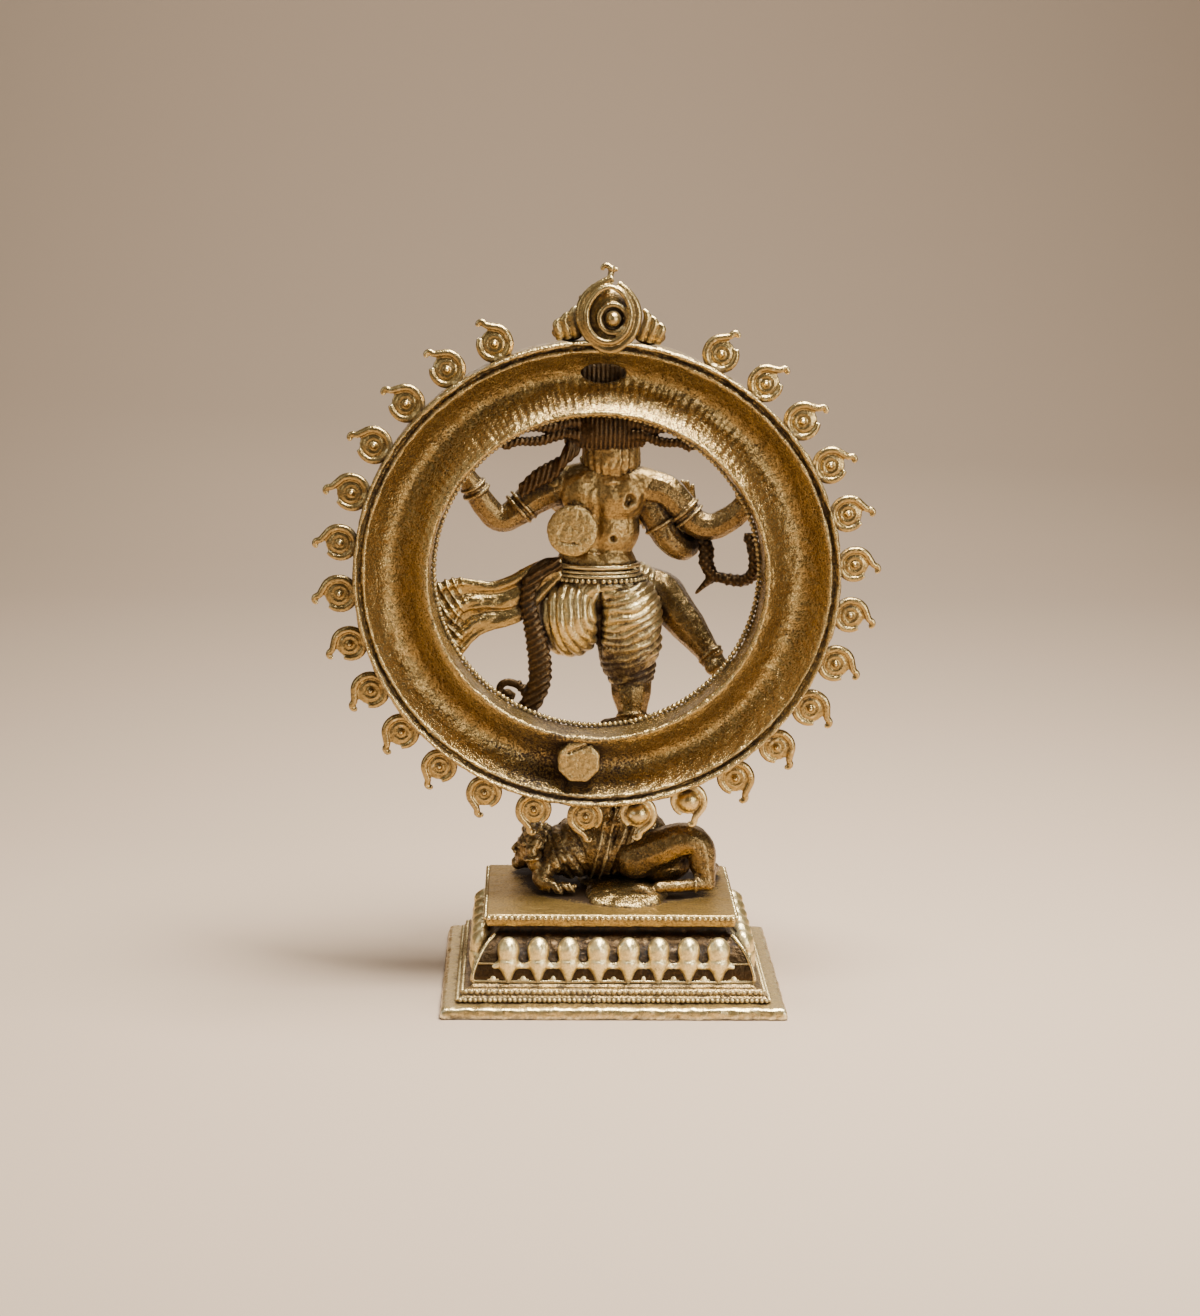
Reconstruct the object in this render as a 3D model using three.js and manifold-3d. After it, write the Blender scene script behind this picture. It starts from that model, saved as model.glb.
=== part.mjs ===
// A small cast-brass Nataraja: a four-armed dancer inside a flaming ring, on a dwarf, on a stepped pedestal.
// Millimetres, +Z up. The dancer faces -Y, so the open trough of the ring faces +Y, and his left is +X.
import * as THREE from "three";
import { mergeVertices } from "three/addons/utils/BufferGeometryUtils.js";
import Module from "manifold-3d";

const wasm = await Module();
wasm.setup();

// ---- Driving dimensions ----
const seam = 0.3; // gap between neighbouring castings, filled by solder on the real piece

const pedestal = { width: 70, depth: 55, height: 19.1, plinthHeight: 2.4, wall: 3.2 };
const slab = { inset: 9.2, height: 2.5 };
const beadStep = { inset: 3.0, top: 5.4 };
const cushion = { footInset: 6.6, headInset: 12.0, neckInset: 12.6, neckHeight: 2.2 };
const petals = { perLongSide: 8, perShortSide: 6, pitch: 5.0, size: [2.3, 1.5, 4.2] };

const ring = {
  centre: [3.9, 87.0], // X and Z: the ring leans a little to the dancer's left
  outerRadius: 49.2,
  innerRadius: 33.8,
  squash: 0.966, // the ring is slightly wider than it is tall
  lean: -2.0, // degrees about Y, towards the dancer's right
  front: 1.0, // Y of its front face
  depth: 9.0,
  lip: 2.0,
  sides: 56,
};
const flame = { count: 27, firstAngle: 25.6, eyeRadius: 3.6, eyeCentre: 3.1, tip: 8.6, thickness: 2.4, y: 5.6 };
const crest = { radius: 6.8, rise: 52.2, finialTop: 150 };
const peg = { x: 7.0, z: 48.7, radius: 3.0 };
const support = { x: 1.0, y: -8.4, foot: 27.5, top: 50.2, radius: 8.6, waist: 6.2 };
const mound = { centre: [-3.1, 3.0, 19.2], radii: [8.6, 10.6, 2.6] };
const tenon = { x: -1.5, y: -2, radius: 2.0, bottom: 13.2, top: 20.4 };

const brass = new THREE.MeshStandardMaterial({ color: 0xb08d45, roughness: 0.38, metalness: 1.0 });
const darkBrass = new THREE.MeshStandardMaterial({ color: 0x6e5228, roughness: 0.5, metalness: 1.0 });
const brightBrass = new THREE.MeshStandardMaterial({ color: 0xd8bd78, roughness: 0.3, metalness: 1.0 });

// ---- Solids ----
// A closed three.js geometry as a solid that can be joined and cut.
function solid(geometry) {
  const bare = geometry.clone();
  bare.deleteAttribute("normal");
  bare.deleteAttribute("uv");
  const merged = mergeVertices(bare, 1e-4);
  return new wasm.Manifold(
    new wasm.Mesh({
      numProp: 3,
      vertProperties: merged.attributes.position.array,
      triVerts: new Uint32Array(merged.index.array),
    }),
  );
}

const join = (...bodies) => bodies.reduce((all, body) => all.add(body));

// The largest connected body: a cut can leave crumbs behind.
function mainBody(body) {
  return body.decompose().reduce((big, one) => (one.volume() > big.volume() ? one : big));
}

function meshOf(name, body, material) {
  const made = mainBody(body).getMesh();
  const geometry = new THREE.BufferGeometry()
    .setAttribute("position", new THREE.BufferAttribute(made.vertProperties, 3))
    .setIndex(new THREE.BufferAttribute(made.triVerts, 1));
  geometry.computeVertexNormals();
  const mesh = new THREE.Mesh(geometry, material);
  mesh.name = name;
  return mesh;
}

// An ellipsoid. Every organic shape takes a grow, which swells it for cutting a seam into its neighbours.
function ball(centre, radii, grow = 0, sides = 10) {
  const geometry = new THREE.SphereGeometry(1, sides, Math.round(sides * 0.6));
  geometry.scale(radii[0] + grow, radii[1] + grow, radii[2] + grow);
  geometry.translate(...centre);
  return solid(geometry);
}

// A limb: a cone with round ends, from a to b.
function bone(a, b, startRadius, endRadius, grow = 0, sides = 8) {
  const from = new THREE.Vector3(...a);
  const along = new THREE.Vector3(...b).sub(from);
  const length = along.length();
  const r0 = startRadius + grow;
  const r1 = endRadius + grow;
  const capAngles = [0, 45, 90].map(THREE.MathUtils.degToRad);
  const profile = [
    ...capAngles.map((t) => new THREE.Vector2(r0 * Math.sin(t), -r0 * Math.cos(t))),
    ...capAngles.map((t) => new THREE.Vector2(r1 * Math.cos(t), length + r1 * Math.sin(t))),
  ];
  profile[0].x = 0;
  profile.at(-1).x = 0;
  const geometry = new THREE.LatheGeometry(profile, sides);
  geometry.applyQuaternion(
    new THREE.Quaternion().setFromUnitVectors(new THREE.Vector3(0, 1, 0), along.normalize()),
  );
  geometry.translate(...a);
  return solid(geometry);
}

// Bones end to end through a chain of joints [x, y, z, radius].
function limb(joints, grow = 0, sides = 8) {
  const bones = joints
    .slice(1)
    .map((end, i) => bone(joints[i].slice(0, 3), end.slice(0, 3), joints[i][3], end[3], grow, sides));
  return join(...bones);
}

// A flat strip bent along a curve through the given points.
function ribbon(points, width, thickness, steps, grow = 0) {
  const section = new THREE.Shape();
  section.absellipse(0, 0, thickness / 2 + grow, width / 2 + grow, 0, Math.PI * 2);
  const path = new THREE.CatmullRomCurve3(points.map((p) => new THREE.Vector3(...p)));
  return solid(
    new THREE.ExtrudeGeometry(section, { steps, extrudePath: path, bevelEnabled: false, curveSegments: 4 }),
  );
}

// A round shape about an axis along Y, from a profile of [radius, y] points.
function turnedAlongY(profile, centre, sides) {
  const geometry = new THREE.LatheGeometry(profile.map((p) => new THREE.Vector2(...p)), sides);
  geometry.translate(...centre);
  return solid(geometry);
}

// A round shape about a vertical axis, from a profile of [radius, z] points.
function turnedUpright(profile, centre, sides) {
  const geometry = new THREE.LatheGeometry(profile.map((p) => new THREE.Vector2(...p)), sides);
  geometry.rotateX(Math.PI / 2);
  geometry.translate(...centre);
  return solid(geometry);
}

// An outline in X and Z with its thickness along Y.
function plate(shape, thickness, middleY, curveSegments = 6) {
  const geometry = new THREE.ExtrudeGeometry(shape, { depth: thickness, bevelEnabled: false, curveSegments });
  geometry.rotateX(Math.PI / 2);
  geometry.translate(0, middleY + thickness / 2, 0);
  return solid(geometry);
}

// ---- Pedestal ----
// A rectangular tier: a four-sided turning, pulled out along X so that its inset is the same on all sides.
// Each profile point is [inset from the plinth's edge, z].
function tier(profile) {
  const points = profile.map(([inset, z]) => new THREE.Vector2((pedestal.depth / 2 - inset) * Math.SQRT2, z));
  const geometry = new THREE.LatheGeometry(points, 4, Math.PI / 4);
  geometry.rotateX(Math.PI / 2);
  const position = geometry.getAttribute("position");
  const stretch = (pedestal.width - pedestal.depth) / 2;
  for (let i = 0; i < position.count; i++)
    position.setX(i, position.getX(i) + Math.sign(Math.round(position.getX(i) * 1e3)) * stretch);
  return solid(geometry);
}

function pedestalPieces() {
  const { wall, plinthHeight, height } = pedestal;
  const slabBottom = height - slab.height;
  const innerInset = cushion.neckInset + wall;
  const plinth = tier([
    [0, 0],
    [0, plinthHeight],
    [wall + 4, plinthHeight],
    [wall + 4, 0],
    [0, 0],
  ]);
  const step = tier([
    [beadStep.inset, plinthHeight + seam],
    [beadStep.inset, plinthHeight + 1.6],
    [beadStep.inset + 1.2, plinthHeight + 1.6],
    [beadStep.inset + 1.2, beadStep.top],
    [wall + 6, beadStep.top],
    [wall + 6, plinthHeight + seam],
    [beadStep.inset, plinthHeight + seam],
  ]);
  const neckBottom = slabBottom - cushion.neckHeight;
  const cushionBottom = beadStep.top + seam;
  const rise = neckBottom - cushionBottom;
  const swell = [0, 18, 36, 54, 72, 90].map(THREE.MathUtils.degToRad).map((t) => [
    cushion.headInset - (cushion.headInset - cushion.footInset) * Math.cos(t),
    cushionBottom + 0.8 + (rise - 0.8) * Math.sin(t),
  ]);
  const shell = tier([
    [cushion.footInset, cushionBottom],
    ...swell,
    [cushion.neckInset, neckBottom + 0.1],
    [cushion.neckInset, slabBottom - seam],
    [innerInset, slabBottom - seam],
    [innerInset, cushionBottom],
    [cushion.footInset, cushionBottom],
  ]);
  const lotus = petalSites(cushionBottom, rise).reduce((all, site) => all.add(petal(site)), shell);
  const top = tier([
    [pedestal.depth / 2, slabBottom],
    [slab.inset, slabBottom],
    [slab.inset, height],
    [pedestal.depth / 2, height],
  ]).subtract(tenonBody(seam));
  return [
    meshOf("pedestal_plinth", plinth, brass),
    meshOf("pedestal_bead_step", step, brass),
    meshOf("pedestal_lotus_cushion", lotus, brightBrass),
    meshOf("pedestal_top_slab", top, brass),
  ];
}

// Where each petal stands on the cushion: [x, y, z, turn about Z].
function petalSites(bottom, rise) {
  const z = bottom + rise * 0.5;
  const inset = cushion.footInset + 1.3;
  const row = (count, at) => Array.from({ length: count }, (_, i) => at((i - (count - 1) / 2) * petals.pitch));
  const long = [1, -1].flatMap((side) =>
    row(petals.perLongSide, (x) => [x * 1.14, side * (pedestal.depth / 2 - inset), z, 0]),
  );
  const short = [1, -1].flatMap((side) =>
    row(petals.perShortSide, (y) => [side * (pedestal.width / 2 - inset), y, z, Math.PI / 2]),
  );
  return [...long, ...short];
}

function petal([x, y, z, turn]) {
  const geometry = new THREE.OctahedronGeometry(1, 1);
  geometry.scale(...petals.size);
  geometry.rotateZ(turn);
  geometry.translate(x, y, z);
  return solid(geometry);
}

// ---- Ground under the dwarf: a low mound with a tenon through the slab ----
function tenonBody(grow) {
  const { x, y, radius, bottom, top } = tenon;
  const geometry = new THREE.CylinderGeometry(radius + grow, radius + grow, top - bottom, 12);
  geometry.rotateX(Math.PI / 2);
  geometry.translate(x, y, (top + bottom) / 2);
  return solid(geometry);
}

const moundBody = (g) =>
  join(ball(mound.centre, mound.radii, g, 14).subtract(pedestalBlock(seam - g)), tenonBody(g));

// ---- Ring of fire ----
const trough = () => {
  const back = ring.front + ring.depth;
  const middle = (ring.outerRadius + ring.innerRadius) / 2;
  const half = (ring.outerRadius - ring.innerRadius) / 2 - ring.lip;
  const hollow = [0, 36, 72, 108, 144, 180].map(THREE.MathUtils.degToRad).map((t) => [
    middle + half * Math.cos(t),
    back - (ring.depth - 1.8) * Math.sin(t),
  ]);
  return [
    [ring.innerRadius, ring.front],
    [ring.outerRadius, ring.front],
    [ring.outerRadius, back],
    ...hollow,
    [ring.innerRadius, back],
    [ring.innerRadius, ring.front],
  ];
};

// Turns and squashes a ring-centred geometry or solid builder's output into place.
function inRingFrame(object) {
  object.rotation.y = THREE.MathUtils.degToRad(ring.lean);
  object.position.set(ring.centre[0], 0, ring.centre[1]);
  return object;
}

// The point at an angle from the crest on an ellipse outside the ring's rim, in the ring's own frame.
function rimPoint(angle, beyond) {
  const t = THREE.MathUtils.degToRad(angle);
  const radius = ring.outerRadius + beyond;
  return [radius * Math.sin(t), radius * Math.cos(t) * ring.squash];
}

function ringPieces() {
  const profile = trough().map((p) => new THREE.Vector2(...p));
  const geometry = new THREE.LatheGeometry(profile, ring.sides);
  geometry.scale(1, 1, ring.squash);
  const pegHole = new THREE.CylinderGeometry(peg.radius + seam, peg.radius + seam, 30, 12);
  pegHole.translate(peg.x - ring.centre[0], 6, peg.z - ring.centre[1]);
  pegHole.rotateY(THREE.MathUtils.degToRad(-ring.lean));
  const crownSlot = ball([0, ring.front + 1.2, 43.2 * ring.squash], [4.6, 4, 2.1]);
  const body = solid(geometry).subtract(solid(pegHole)).subtract(crownSlot);
  const pieces = [meshOf("fire_ring", body, brass)];
  const step = (360 - 2 * flame.firstAngle) / (flame.count - 1);
  for (let i = 0; i < flame.count; i++) {
    const angle = flame.firstAngle + i * step;
    pieces.push(meshOf(`flame_${String(i + 1).padStart(2, "0")}`, flameAt(angle), brightBrass));
  }
  pieces.push(...crestPieces());
  return pieces;
}

// The rim that flames and crest are seated on.
function rimCutter(grow, back) {
  const radius = ring.outerRadius + grow;
  const geometry = new THREE.CylinderGeometry(radius, radius, back + 5, ring.sides);
  geometry.translate(0, (back - 5) / 2, 0);
  geometry.scale(1, 1, ring.squash);
  return solid(geometry);
}

// One tongue of fire: a round eye with a boss, drawn out to a hooked tip that leans towards the crest.
function flameAt(angle) {
  const r = flame.eyeRadius;
  const shape = new THREE.Shape();
  shape.moveTo(r * Math.cos(2.5), r * Math.sin(2.5));
  shape.absarc(0, 0, r, 2.5, Math.PI * 2 + 0.75, false);
  shape.quadraticCurveTo(1.2, 4.0, 0.9, flame.tip - 3.6);
  shape.lineTo(0.1, flame.tip - 3.1);
  shape.lineTo(-1.3, flame.tip - 4.2);
  shape.quadraticCurveTo(-1.5, 3.6, r * Math.cos(2.5), r * Math.sin(2.5));
  const body = plate(shape, flame.thickness, flame.y, 3);
  const boss = ball([0, flame.y, 0], [1.7, flame.thickness * 0.75, 1.7], 0, 6);
  const stemTop = 0.6 - r;
  const stem = new THREE.BoxGeometry(3.0, flame.thickness, 1.8);
  stem.translate(0, flame.y, stemTop - 0.5);
  const [x, z] = rimPoint(angle, flame.eyeCentre);
  const mirror = angle > 180 ? -1 : 1;
  const matrix = new THREE.Matrix4()
    .makeTranslation(x, 0, z)
    .multiply(new THREE.Matrix4().makeRotationY(THREE.MathUtils.degToRad(angle)));
  const placed = join(body, boss, solid(stem)).scale([mirror, 1, 1]).transform(matrix.toArray());
  return placed.subtract(rimCutter(seam, 30));
}

function crestPieces() {
  const back = ring.front + ring.depth;
  const top = crest.rise;
  const r = crest.radius;
  const dish = [
    [0, back + 2.2],
    [1.2, back + 2.0],
    [1.9, back + 1.0],
    [2.3, back + 0.6],
    [3.4, back + 1.3],
    [4.3, back + 0.9],
    [5.0, back + 1.5],
    [r, back + 0.8],
    [r, ring.front + 1.6],
    [5.0, ring.front + 0.6],
    [0, ring.front + 0.4],
  ].reverse();
  const rim = rimCutter(seam, back + seam);
  const roundel = turnedAlongY(dish, [0, 0, top], 24);
  const finialFoot = top + r + seam;
  const finialHeight = crest.finialTop - ring.centre[1] - finialFoot;
  const finial = turnedUpright(
    [
      [0, 0],
      [2.6, 0],
      [1.5, 0.25],
      [1.0, 0.5],
      [2.0, 0.68],
      [1.6, 0.9],
      [0, 1],
    ].map(([radius, share]) => [radius, share * finialHeight]),
    [0.9, back - 3.5, finialFoot],
    10,
  );
  const pieces = [
    meshOf("crest_roundel", roundel.subtract(rim), brightBrass),
    meshOf("crest_finial", finial, brightBrass),
  ];
  for (const [name, side] of [
    ["crest_ear_left", 1],
    ["crest_ear_right", -1],
  ]) {
    const ear = join(
      ball([side * 9.4, back - 4, top - 2.0], [2.7, 2.0, 3.0], 0, 8),
      ball([side * 8.9, back - 4, top + 0.6], [1.6, 1.5, 1.7], 0, 8),
    );
    const clear = turnedAlongY(
      [
        [0, -5],
        [r + seam, -5],
        [r + seam, 30],
        [0, 30],
      ],
      [0, 0, top],
      24,
    );
    pieces.push(meshOf(name, ear.subtract(clear).subtract(rim), brightBrass));
  }
  return pieces;
}

// The peg stands in the trough and runs through the ring's floor into the lotus support.
function pegBody(grow) {
  const geometry = new THREE.CylinderGeometry(peg.radius + grow, peg.radius + grow, 13, 8);
  geometry.rotateY(Math.PI / 8);
  geometry.translate(peg.x, 3.2, peg.z);
  return solid(geometry);
}

// ---- Figures ----
// A placed piece gives way, with a seam, to every piece placed before it.
const placed = [];

function place(name, build, material) {
  const body = placed.reduce((left, earlier) => left.subtract(earlier), build(0));
  placed.push(build(seam));
  return meshOf(name, body, material);
}

function ringBody(grow) {
  const back = ring.front + ring.depth;
  const wall = [
    [ring.innerRadius - grow, ring.front - grow],
    [ring.outerRadius + grow, ring.front - grow],
    [ring.outerRadius + grow, back + grow],
    [ring.innerRadius - grow, back + grow],
    [ring.innerRadius - grow, ring.front - grow],
  ];
  const geometry = new THREE.LatheGeometry(wall.map((p) => new THREE.Vector2(...p)), ring.sides);
  geometry.scale(1, 1, ring.squash);
  geometry.rotateY(THREE.MathUtils.degToRad(ring.lean));
  geometry.translate(ring.centre[0], 0, ring.centre[1]);
  return solid(geometry);
}

function pedestalBlock(grow) {
  const geometry = new THREE.BoxGeometry(80, 60, pedestal.height + grow);
  geometry.translate(0, 0, (pedestal.height + grow) / 2);
  return solid(geometry);
}

const supportBody = (g) =>
  turnedUpright(
    [
      [0, support.foot - g],
      [support.radius - 1.5 + g, support.foot - g],
      [support.waist + g, support.foot + 8],
      [support.waist + 0.4 + g, support.top - 7],
      [support.radius + g, support.top - 2.4],
      [support.radius - 0.8 + g, support.top + g],
      [0, support.top + g],
    ],
    [support.x, support.y, 0],
    16,
  );

const dwarfTorso = (g) =>
  join(
    ball([0.5, -5.5, 27.0], [12.5, 8.0, 7.4], g),
    ball([8.5, -5.5, 26.0], [6.4, 7.2, 6.2], g),
    limb([[11, 0.5, 24, 2.6], [15.4, 3.5, 21.6, 2.0], [17.4, 2.6, 28.2, 1.7], [16.6, 2.0, 31.0, 1.5]], g),
    limb([[10, -11, 24, 2.6], [14.5, -14.5, 21.6, 2.0], [19.5, -12.5, 21.2, 1.7]], g),
  );
const dwarfHead = (g) =>
  join(ball([15.8, -6.0, 26.0], [4.4, 4.6, 4.9], g), ball([14.2, -6.0, 29.6], [3.4, 3.6, 2.8], g, 8));
const dwarfBentLeg = (g) =>
  limb([[-7, 0, 27, 4.0], [-17.6, 1.5, 31.0, 3.3], [-20.0, 3.0, 23.0, 2.3], [-13, 6.5, 21.4, 1.6]], g);
const dwarfFlatLeg = (g) =>
  limb([[-7, -9, 25, 4.0], [-18.6, -10.5, 24.0, 3.0], [-21.5, -4.5, 22.0, 2.2], [-22, 0, 21.4, 1.5]], g);

const torso = (g) =>
  join(
    ball([1.8, -7.2, 100.2], [9.4, 5.2, 7.4], g),
    bone([11.8, -7.0, 103.6], [-8.2, -7.0, 103.8], 3.9, 3.9, g),
    bone([1.8, -7.4, 95], [1.8, -7.2, 86.6], 6.9, 5.8, g, 10),
    bone([1.8, -6.8, 106], [1.8, -7.2, 112], 3.6, 3.3, g),
  );
const hips = (g) =>
  join(
    ball([7.4, -6.6, 75.8], [7.0, 6.4, 7.8], g),
    ball([-3.2, -6.6, 74.2], [7.2, 6.6, 9.4], g),
    ball([1.8, -7.0, 82.4], [8.4, 6.0, 4.6], g),
    bone([-3.8, -7.4, 70], [-4.0, -8.0, 66.5], 5.8, 4.8, g),
  );
const standingLeg = (g) =>
  join(
    limb([[-4.0, -8.4, 66, 4.4], [-3.8, -8.2, 63.4, 4.2], [-3.2, -7.0, 54.6, 2.3]], g),
    limb([[-4.2, -5.0, 52.7, 2.2], [1.6, -11.4, 52.2, 1.7]], g),
  );
const raisedLeg = (g) =>
  join(
    limb([[6.5, -11, 77, 5.4], [-12.6, -16.2, 80.2, 4.6], [-23.6, -6.4, 67.0, 2.3]], g),
    limb([[-23.6, -6.0, 66.6, 2.2], [-29.6, -4.0, 63.0, 1.6]], g),
  );
const rearLeftArm = (g) =>
  limb([[13.6, -5.6, 103.2, 3.3], [23.2, -6.0, 95.0, 2.8], [29.4, -3.6, 103.4, 2.0], [31.4, -2.6, 107.0, 2.0]], g);
const rearRightArm = (g) =>
  limb([[-10.6, -9.0, 104.0, 3.2], [-18.4, -7.4, 92.4, 2.8], [-26.6, -4.0, 99.4, 2.1], [-30.2, -2.8, 103.8, 2.0]], g);
const frontRightArm = (g) =>
  join(
    limb([[-9.4, -5.2, 102.0, 3.2], [-15.2, -6.6, 89.6, 2.8], [-15.4, -14.6, 97.0, 2.0]], g),
    limb([[-15.4, -15.2, 98.4, 1.9], [-15.2, -16.4, 103.4, 1.5]], g),
  );
const frontLeftArm = (g) =>
  join(
    limb([[11.0, -10.4, 102.6, 3.2], [6.4, -17.6, 97.4, 2.7], [-8.2, -18.8, 94.6, 2.0]], g),
    limb([[-9.4, -19.0, 94.4, 1.8], [-13.2, -19.2, 87.6, 1.2]], g),
  );
const head = (g) =>
  join(ball([1.8, -8.2, 117.6], [4.9, 5.2, 5.9], g), ball([1.8, -5.0, 116.4], [7.4, 3.6, 5.0], g));
const hairCrown = (g) =>
  turnedUpright(
    [
      [0, 120.5 - g],
      [5.4 + g, 120.5 - g],
      [5.8 + g, 123.0],
      [4.4 + g, 125.4],
      [4.6 + g, 127.0],
      [2.9 + g, 129.6],
      [2.4 + g, 131.2],
      [0, 132.8 + g],
    ],
    [1.8, -7.4, 0],
    14,
  );

// Locks of hair spread behind the head, along the top of the ring's opening.
function hairFan(g) {
  const shape = new THREE.Shape();
  const [x, z] = ring.centre;
  const spread = THREE.MathUtils.degToRad(41);
  const low = ring.innerRadius - 2.4 - g;
  const high = ring.innerRadius + 6.0 + g;
  shape.absarc(x, z, high, Math.PI / 2 - spread, Math.PI / 2 + spread, false);
  shape.absarc(x, z, low, Math.PI / 2 + spread, Math.PI / 2 - spread, true);
  return plate(shape, 2.4 + 2 * g, ring.front - seam - 1.2, 14);
}

// The scarf that flies out from the hip and spreads where it meets the ring.
function flyingSash(g) {
  const shape = new THREE.Shape();
  shape.moveTo(-3, 4.2 + g);
  shape.bezierCurveTo(6, 2.8, 12, 0.6 + g, 24.6 + g, 0.2 + g);
  shape.lineTo(22.6 + g, -13.6 - g);
  shape.bezierCurveTo(17, -9.4, 15, -6.4 - g, 10, -5.6 - g);
  shape.quadraticCurveTo(4, -4.8 - g, -3, -0.6 - g);
  shape.closePath();
  return plate(shape, 1.8 + 2 * g, 0, 5)
    .rotate([0, 0, 13])
    .translate([13.2, -6.0, 82.0]);
}

const hangingScarf = (g) =>
  join(
    ribbon(
      [
        [11.5, -3.2, 85.6],
        [15.2, -3.4, 81.0],
        [15.2, -4.6, 71.4],
        [13.8, -3.8, 62.7],
        [15.6, -2.2, 57.6],
        [19.0, -0.9, 54.0],
      ],
      2.4,
      4.2,
      12,
      g,
    ),
    bone([14.6, -3.0, 60.6], [20.6, -2.6, 60.8], 1.2, 1.9, g, 8),
  );

const snakeBody = (g) =>
  join(
    ribbon(
      [
        [-20.0, -6.6, 92.0],
        [-20.6, -7.0, 86.0],
        [-24.2, -5.4, 82.9],
        [-28.4, -3.4, 85.6],
        [-28.2, -2.4, 90.4],
        [-26.8, -2.6, 93.6],
      ],
      2.8,
      2.8,
      11,
      g,
    ),
    bone([-21.2, -6.6, 84.6], [-18.4, -6.8, 81.8], 1.1, 0.5, g, 6),
  );

const backBoss = (g) => turnedAlongY([[0, -6], [5 + g, -6], [5.1 + g, 0.2], [4.6 + g, 0.7 + g], [0, 0.7 + g]], [8.8, 0, 95.8], 20);
const drum = (g) =>
  join(
    bone([-33.6, -2.6, 106.6], [-31.6, -2.6, 108.4], 2.3, 1.1, g, 8),
    bone([-31.6, -2.6, 108.4], [-29.6, -2.6, 110.2], 1.1, 2.3, g, 8),
  );
const fireBowl = (g) =>
  join(ball([32.4, -2.6, 109.6], [2.8, 2.6, 1.7], g, 10), bone([32.4, -2.6, 110], [33.2, -2.6, 114.2], 1.7, 0.6, g, 8));

function figurePieces() {
  placed.push(pedestalBlock(seam), ringBody(seam));
  placed.push(pegBody(seam), moundBody(seam));
  return [
    meshOf("ring_peg", pegBody(0), brightBrass),
    meshOf("ground_mound", moundBody(0), brass),
    place("dwarf_torso", dwarfTorso, darkBrass),
    place("dwarf_head", dwarfHead, darkBrass),
    place("dwarf_bent_leg", dwarfBentLeg, darkBrass),
    place("dwarf_flat_leg", dwarfFlatLeg, darkBrass),
    place("lotus_support", supportBody, darkBrass),
    place("dancer_torso", torso, brass),
    place("dancer_loincloth", hips, brightBrass),
    place("dancer_standing_leg", standingLeg, darkBrass),
    place("dancer_raised_leg", raisedLeg, brass),
    place("dancer_head", head, darkBrass),
    place("dancer_hair_crown", hairCrown, darkBrass),
    place("back_boss", backBoss, brass),
    place("dancer_rear_left_arm", rearLeftArm, brass),
    place("dancer_rear_right_arm", rearRightArm, darkBrass),
    place("dancer_front_right_arm", frontRightArm, brass),
    place("dancer_front_left_arm", frontLeftArm, brass),
    place("drum", drum, brass),
    place("fire_bowl", fireBowl, brass),
    place("hanging_scarf", hangingScarf, darkBrass),
    place("flying_sash", flyingSash, brass),
    place("cobra", snakeBody, darkBrass),
    place("hair_fan", hairFan, darkBrass),
  ];
}

// ---- Assembly ----
const statue = new THREE.Group();
const ringGroup = inRingFrame(new THREE.Group());
ringGroup.add(...ringPieces());
const parts = new THREE.Group();
parts.add(...pedestalPieces(), ...figurePieces(), ringGroup);
statue.add(parts);

// The origin is at the middle of the overall box, on the surface the statue stands on.
const box = new THREE.Box3().setFromObject(statue);
parts.position.set(-(box.min.x + box.max.x) / 2, -(box.min.y + box.max.y) / 2, 0);

export default statue;
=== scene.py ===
import bpy
import random
from functools import partial
from math import acos, atan2, copysign, cos, degrees, exp, hypot, pi, radians, sin, tau
from mathutils import Matrix, Vector, noise


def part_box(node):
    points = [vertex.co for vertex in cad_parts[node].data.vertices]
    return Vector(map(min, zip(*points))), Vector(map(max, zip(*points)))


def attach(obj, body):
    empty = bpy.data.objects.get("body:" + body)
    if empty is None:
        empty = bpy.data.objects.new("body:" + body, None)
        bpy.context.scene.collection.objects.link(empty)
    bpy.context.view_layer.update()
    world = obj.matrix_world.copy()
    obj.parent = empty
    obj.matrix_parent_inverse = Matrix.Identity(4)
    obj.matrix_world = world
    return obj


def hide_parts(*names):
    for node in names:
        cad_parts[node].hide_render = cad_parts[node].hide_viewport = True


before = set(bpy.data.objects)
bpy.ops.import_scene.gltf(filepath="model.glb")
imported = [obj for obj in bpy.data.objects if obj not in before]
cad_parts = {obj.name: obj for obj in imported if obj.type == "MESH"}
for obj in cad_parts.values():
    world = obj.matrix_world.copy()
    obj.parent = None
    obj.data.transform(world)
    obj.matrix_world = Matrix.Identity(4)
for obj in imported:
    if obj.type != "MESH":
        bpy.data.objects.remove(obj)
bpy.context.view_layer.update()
random.seed(11)

plinthLow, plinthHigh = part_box("pedestal_plinth")
statueX = (plinthLow[0] + plinthHigh[0]) / 2  # the pedestal's middle; the ring leans a little past it
print("frame loaded, statue middle", round(statueX * 1000, 2))


# All sizes below are millimetres from the middle of the pedestal, with the back of the statue towards +Y.
def spot(x, y, z):
    return Vector((statueX + x * 0.001, y * 0.001, z * 0.001))


toStatue = Matrix.Translation((statueX, 0, 0))


# Takes the picked object's place, turn and size into its mesh.
def settle():
    bpy.ops.object.transform_apply(location=True, rotation=True, scale=True)


def smooth():
    bpy.ops.object.shade_smooth()


def drop(*pieces):
    for piece in pieces:
        bpy.data.objects.remove(piece)


def setMode(mode, picked=None):
    bpy.ops.object.mode_set(mode=mode)
    if picked:
        bpy.ops.mesh.select_all(action=picked)


# Camera, floor and light
camera = {"place": (17.24, 492.38, 171.48), "yaw": -1.662, "pitch": 11.784, "roll": 0.735, "lens": 66.75}


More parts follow.
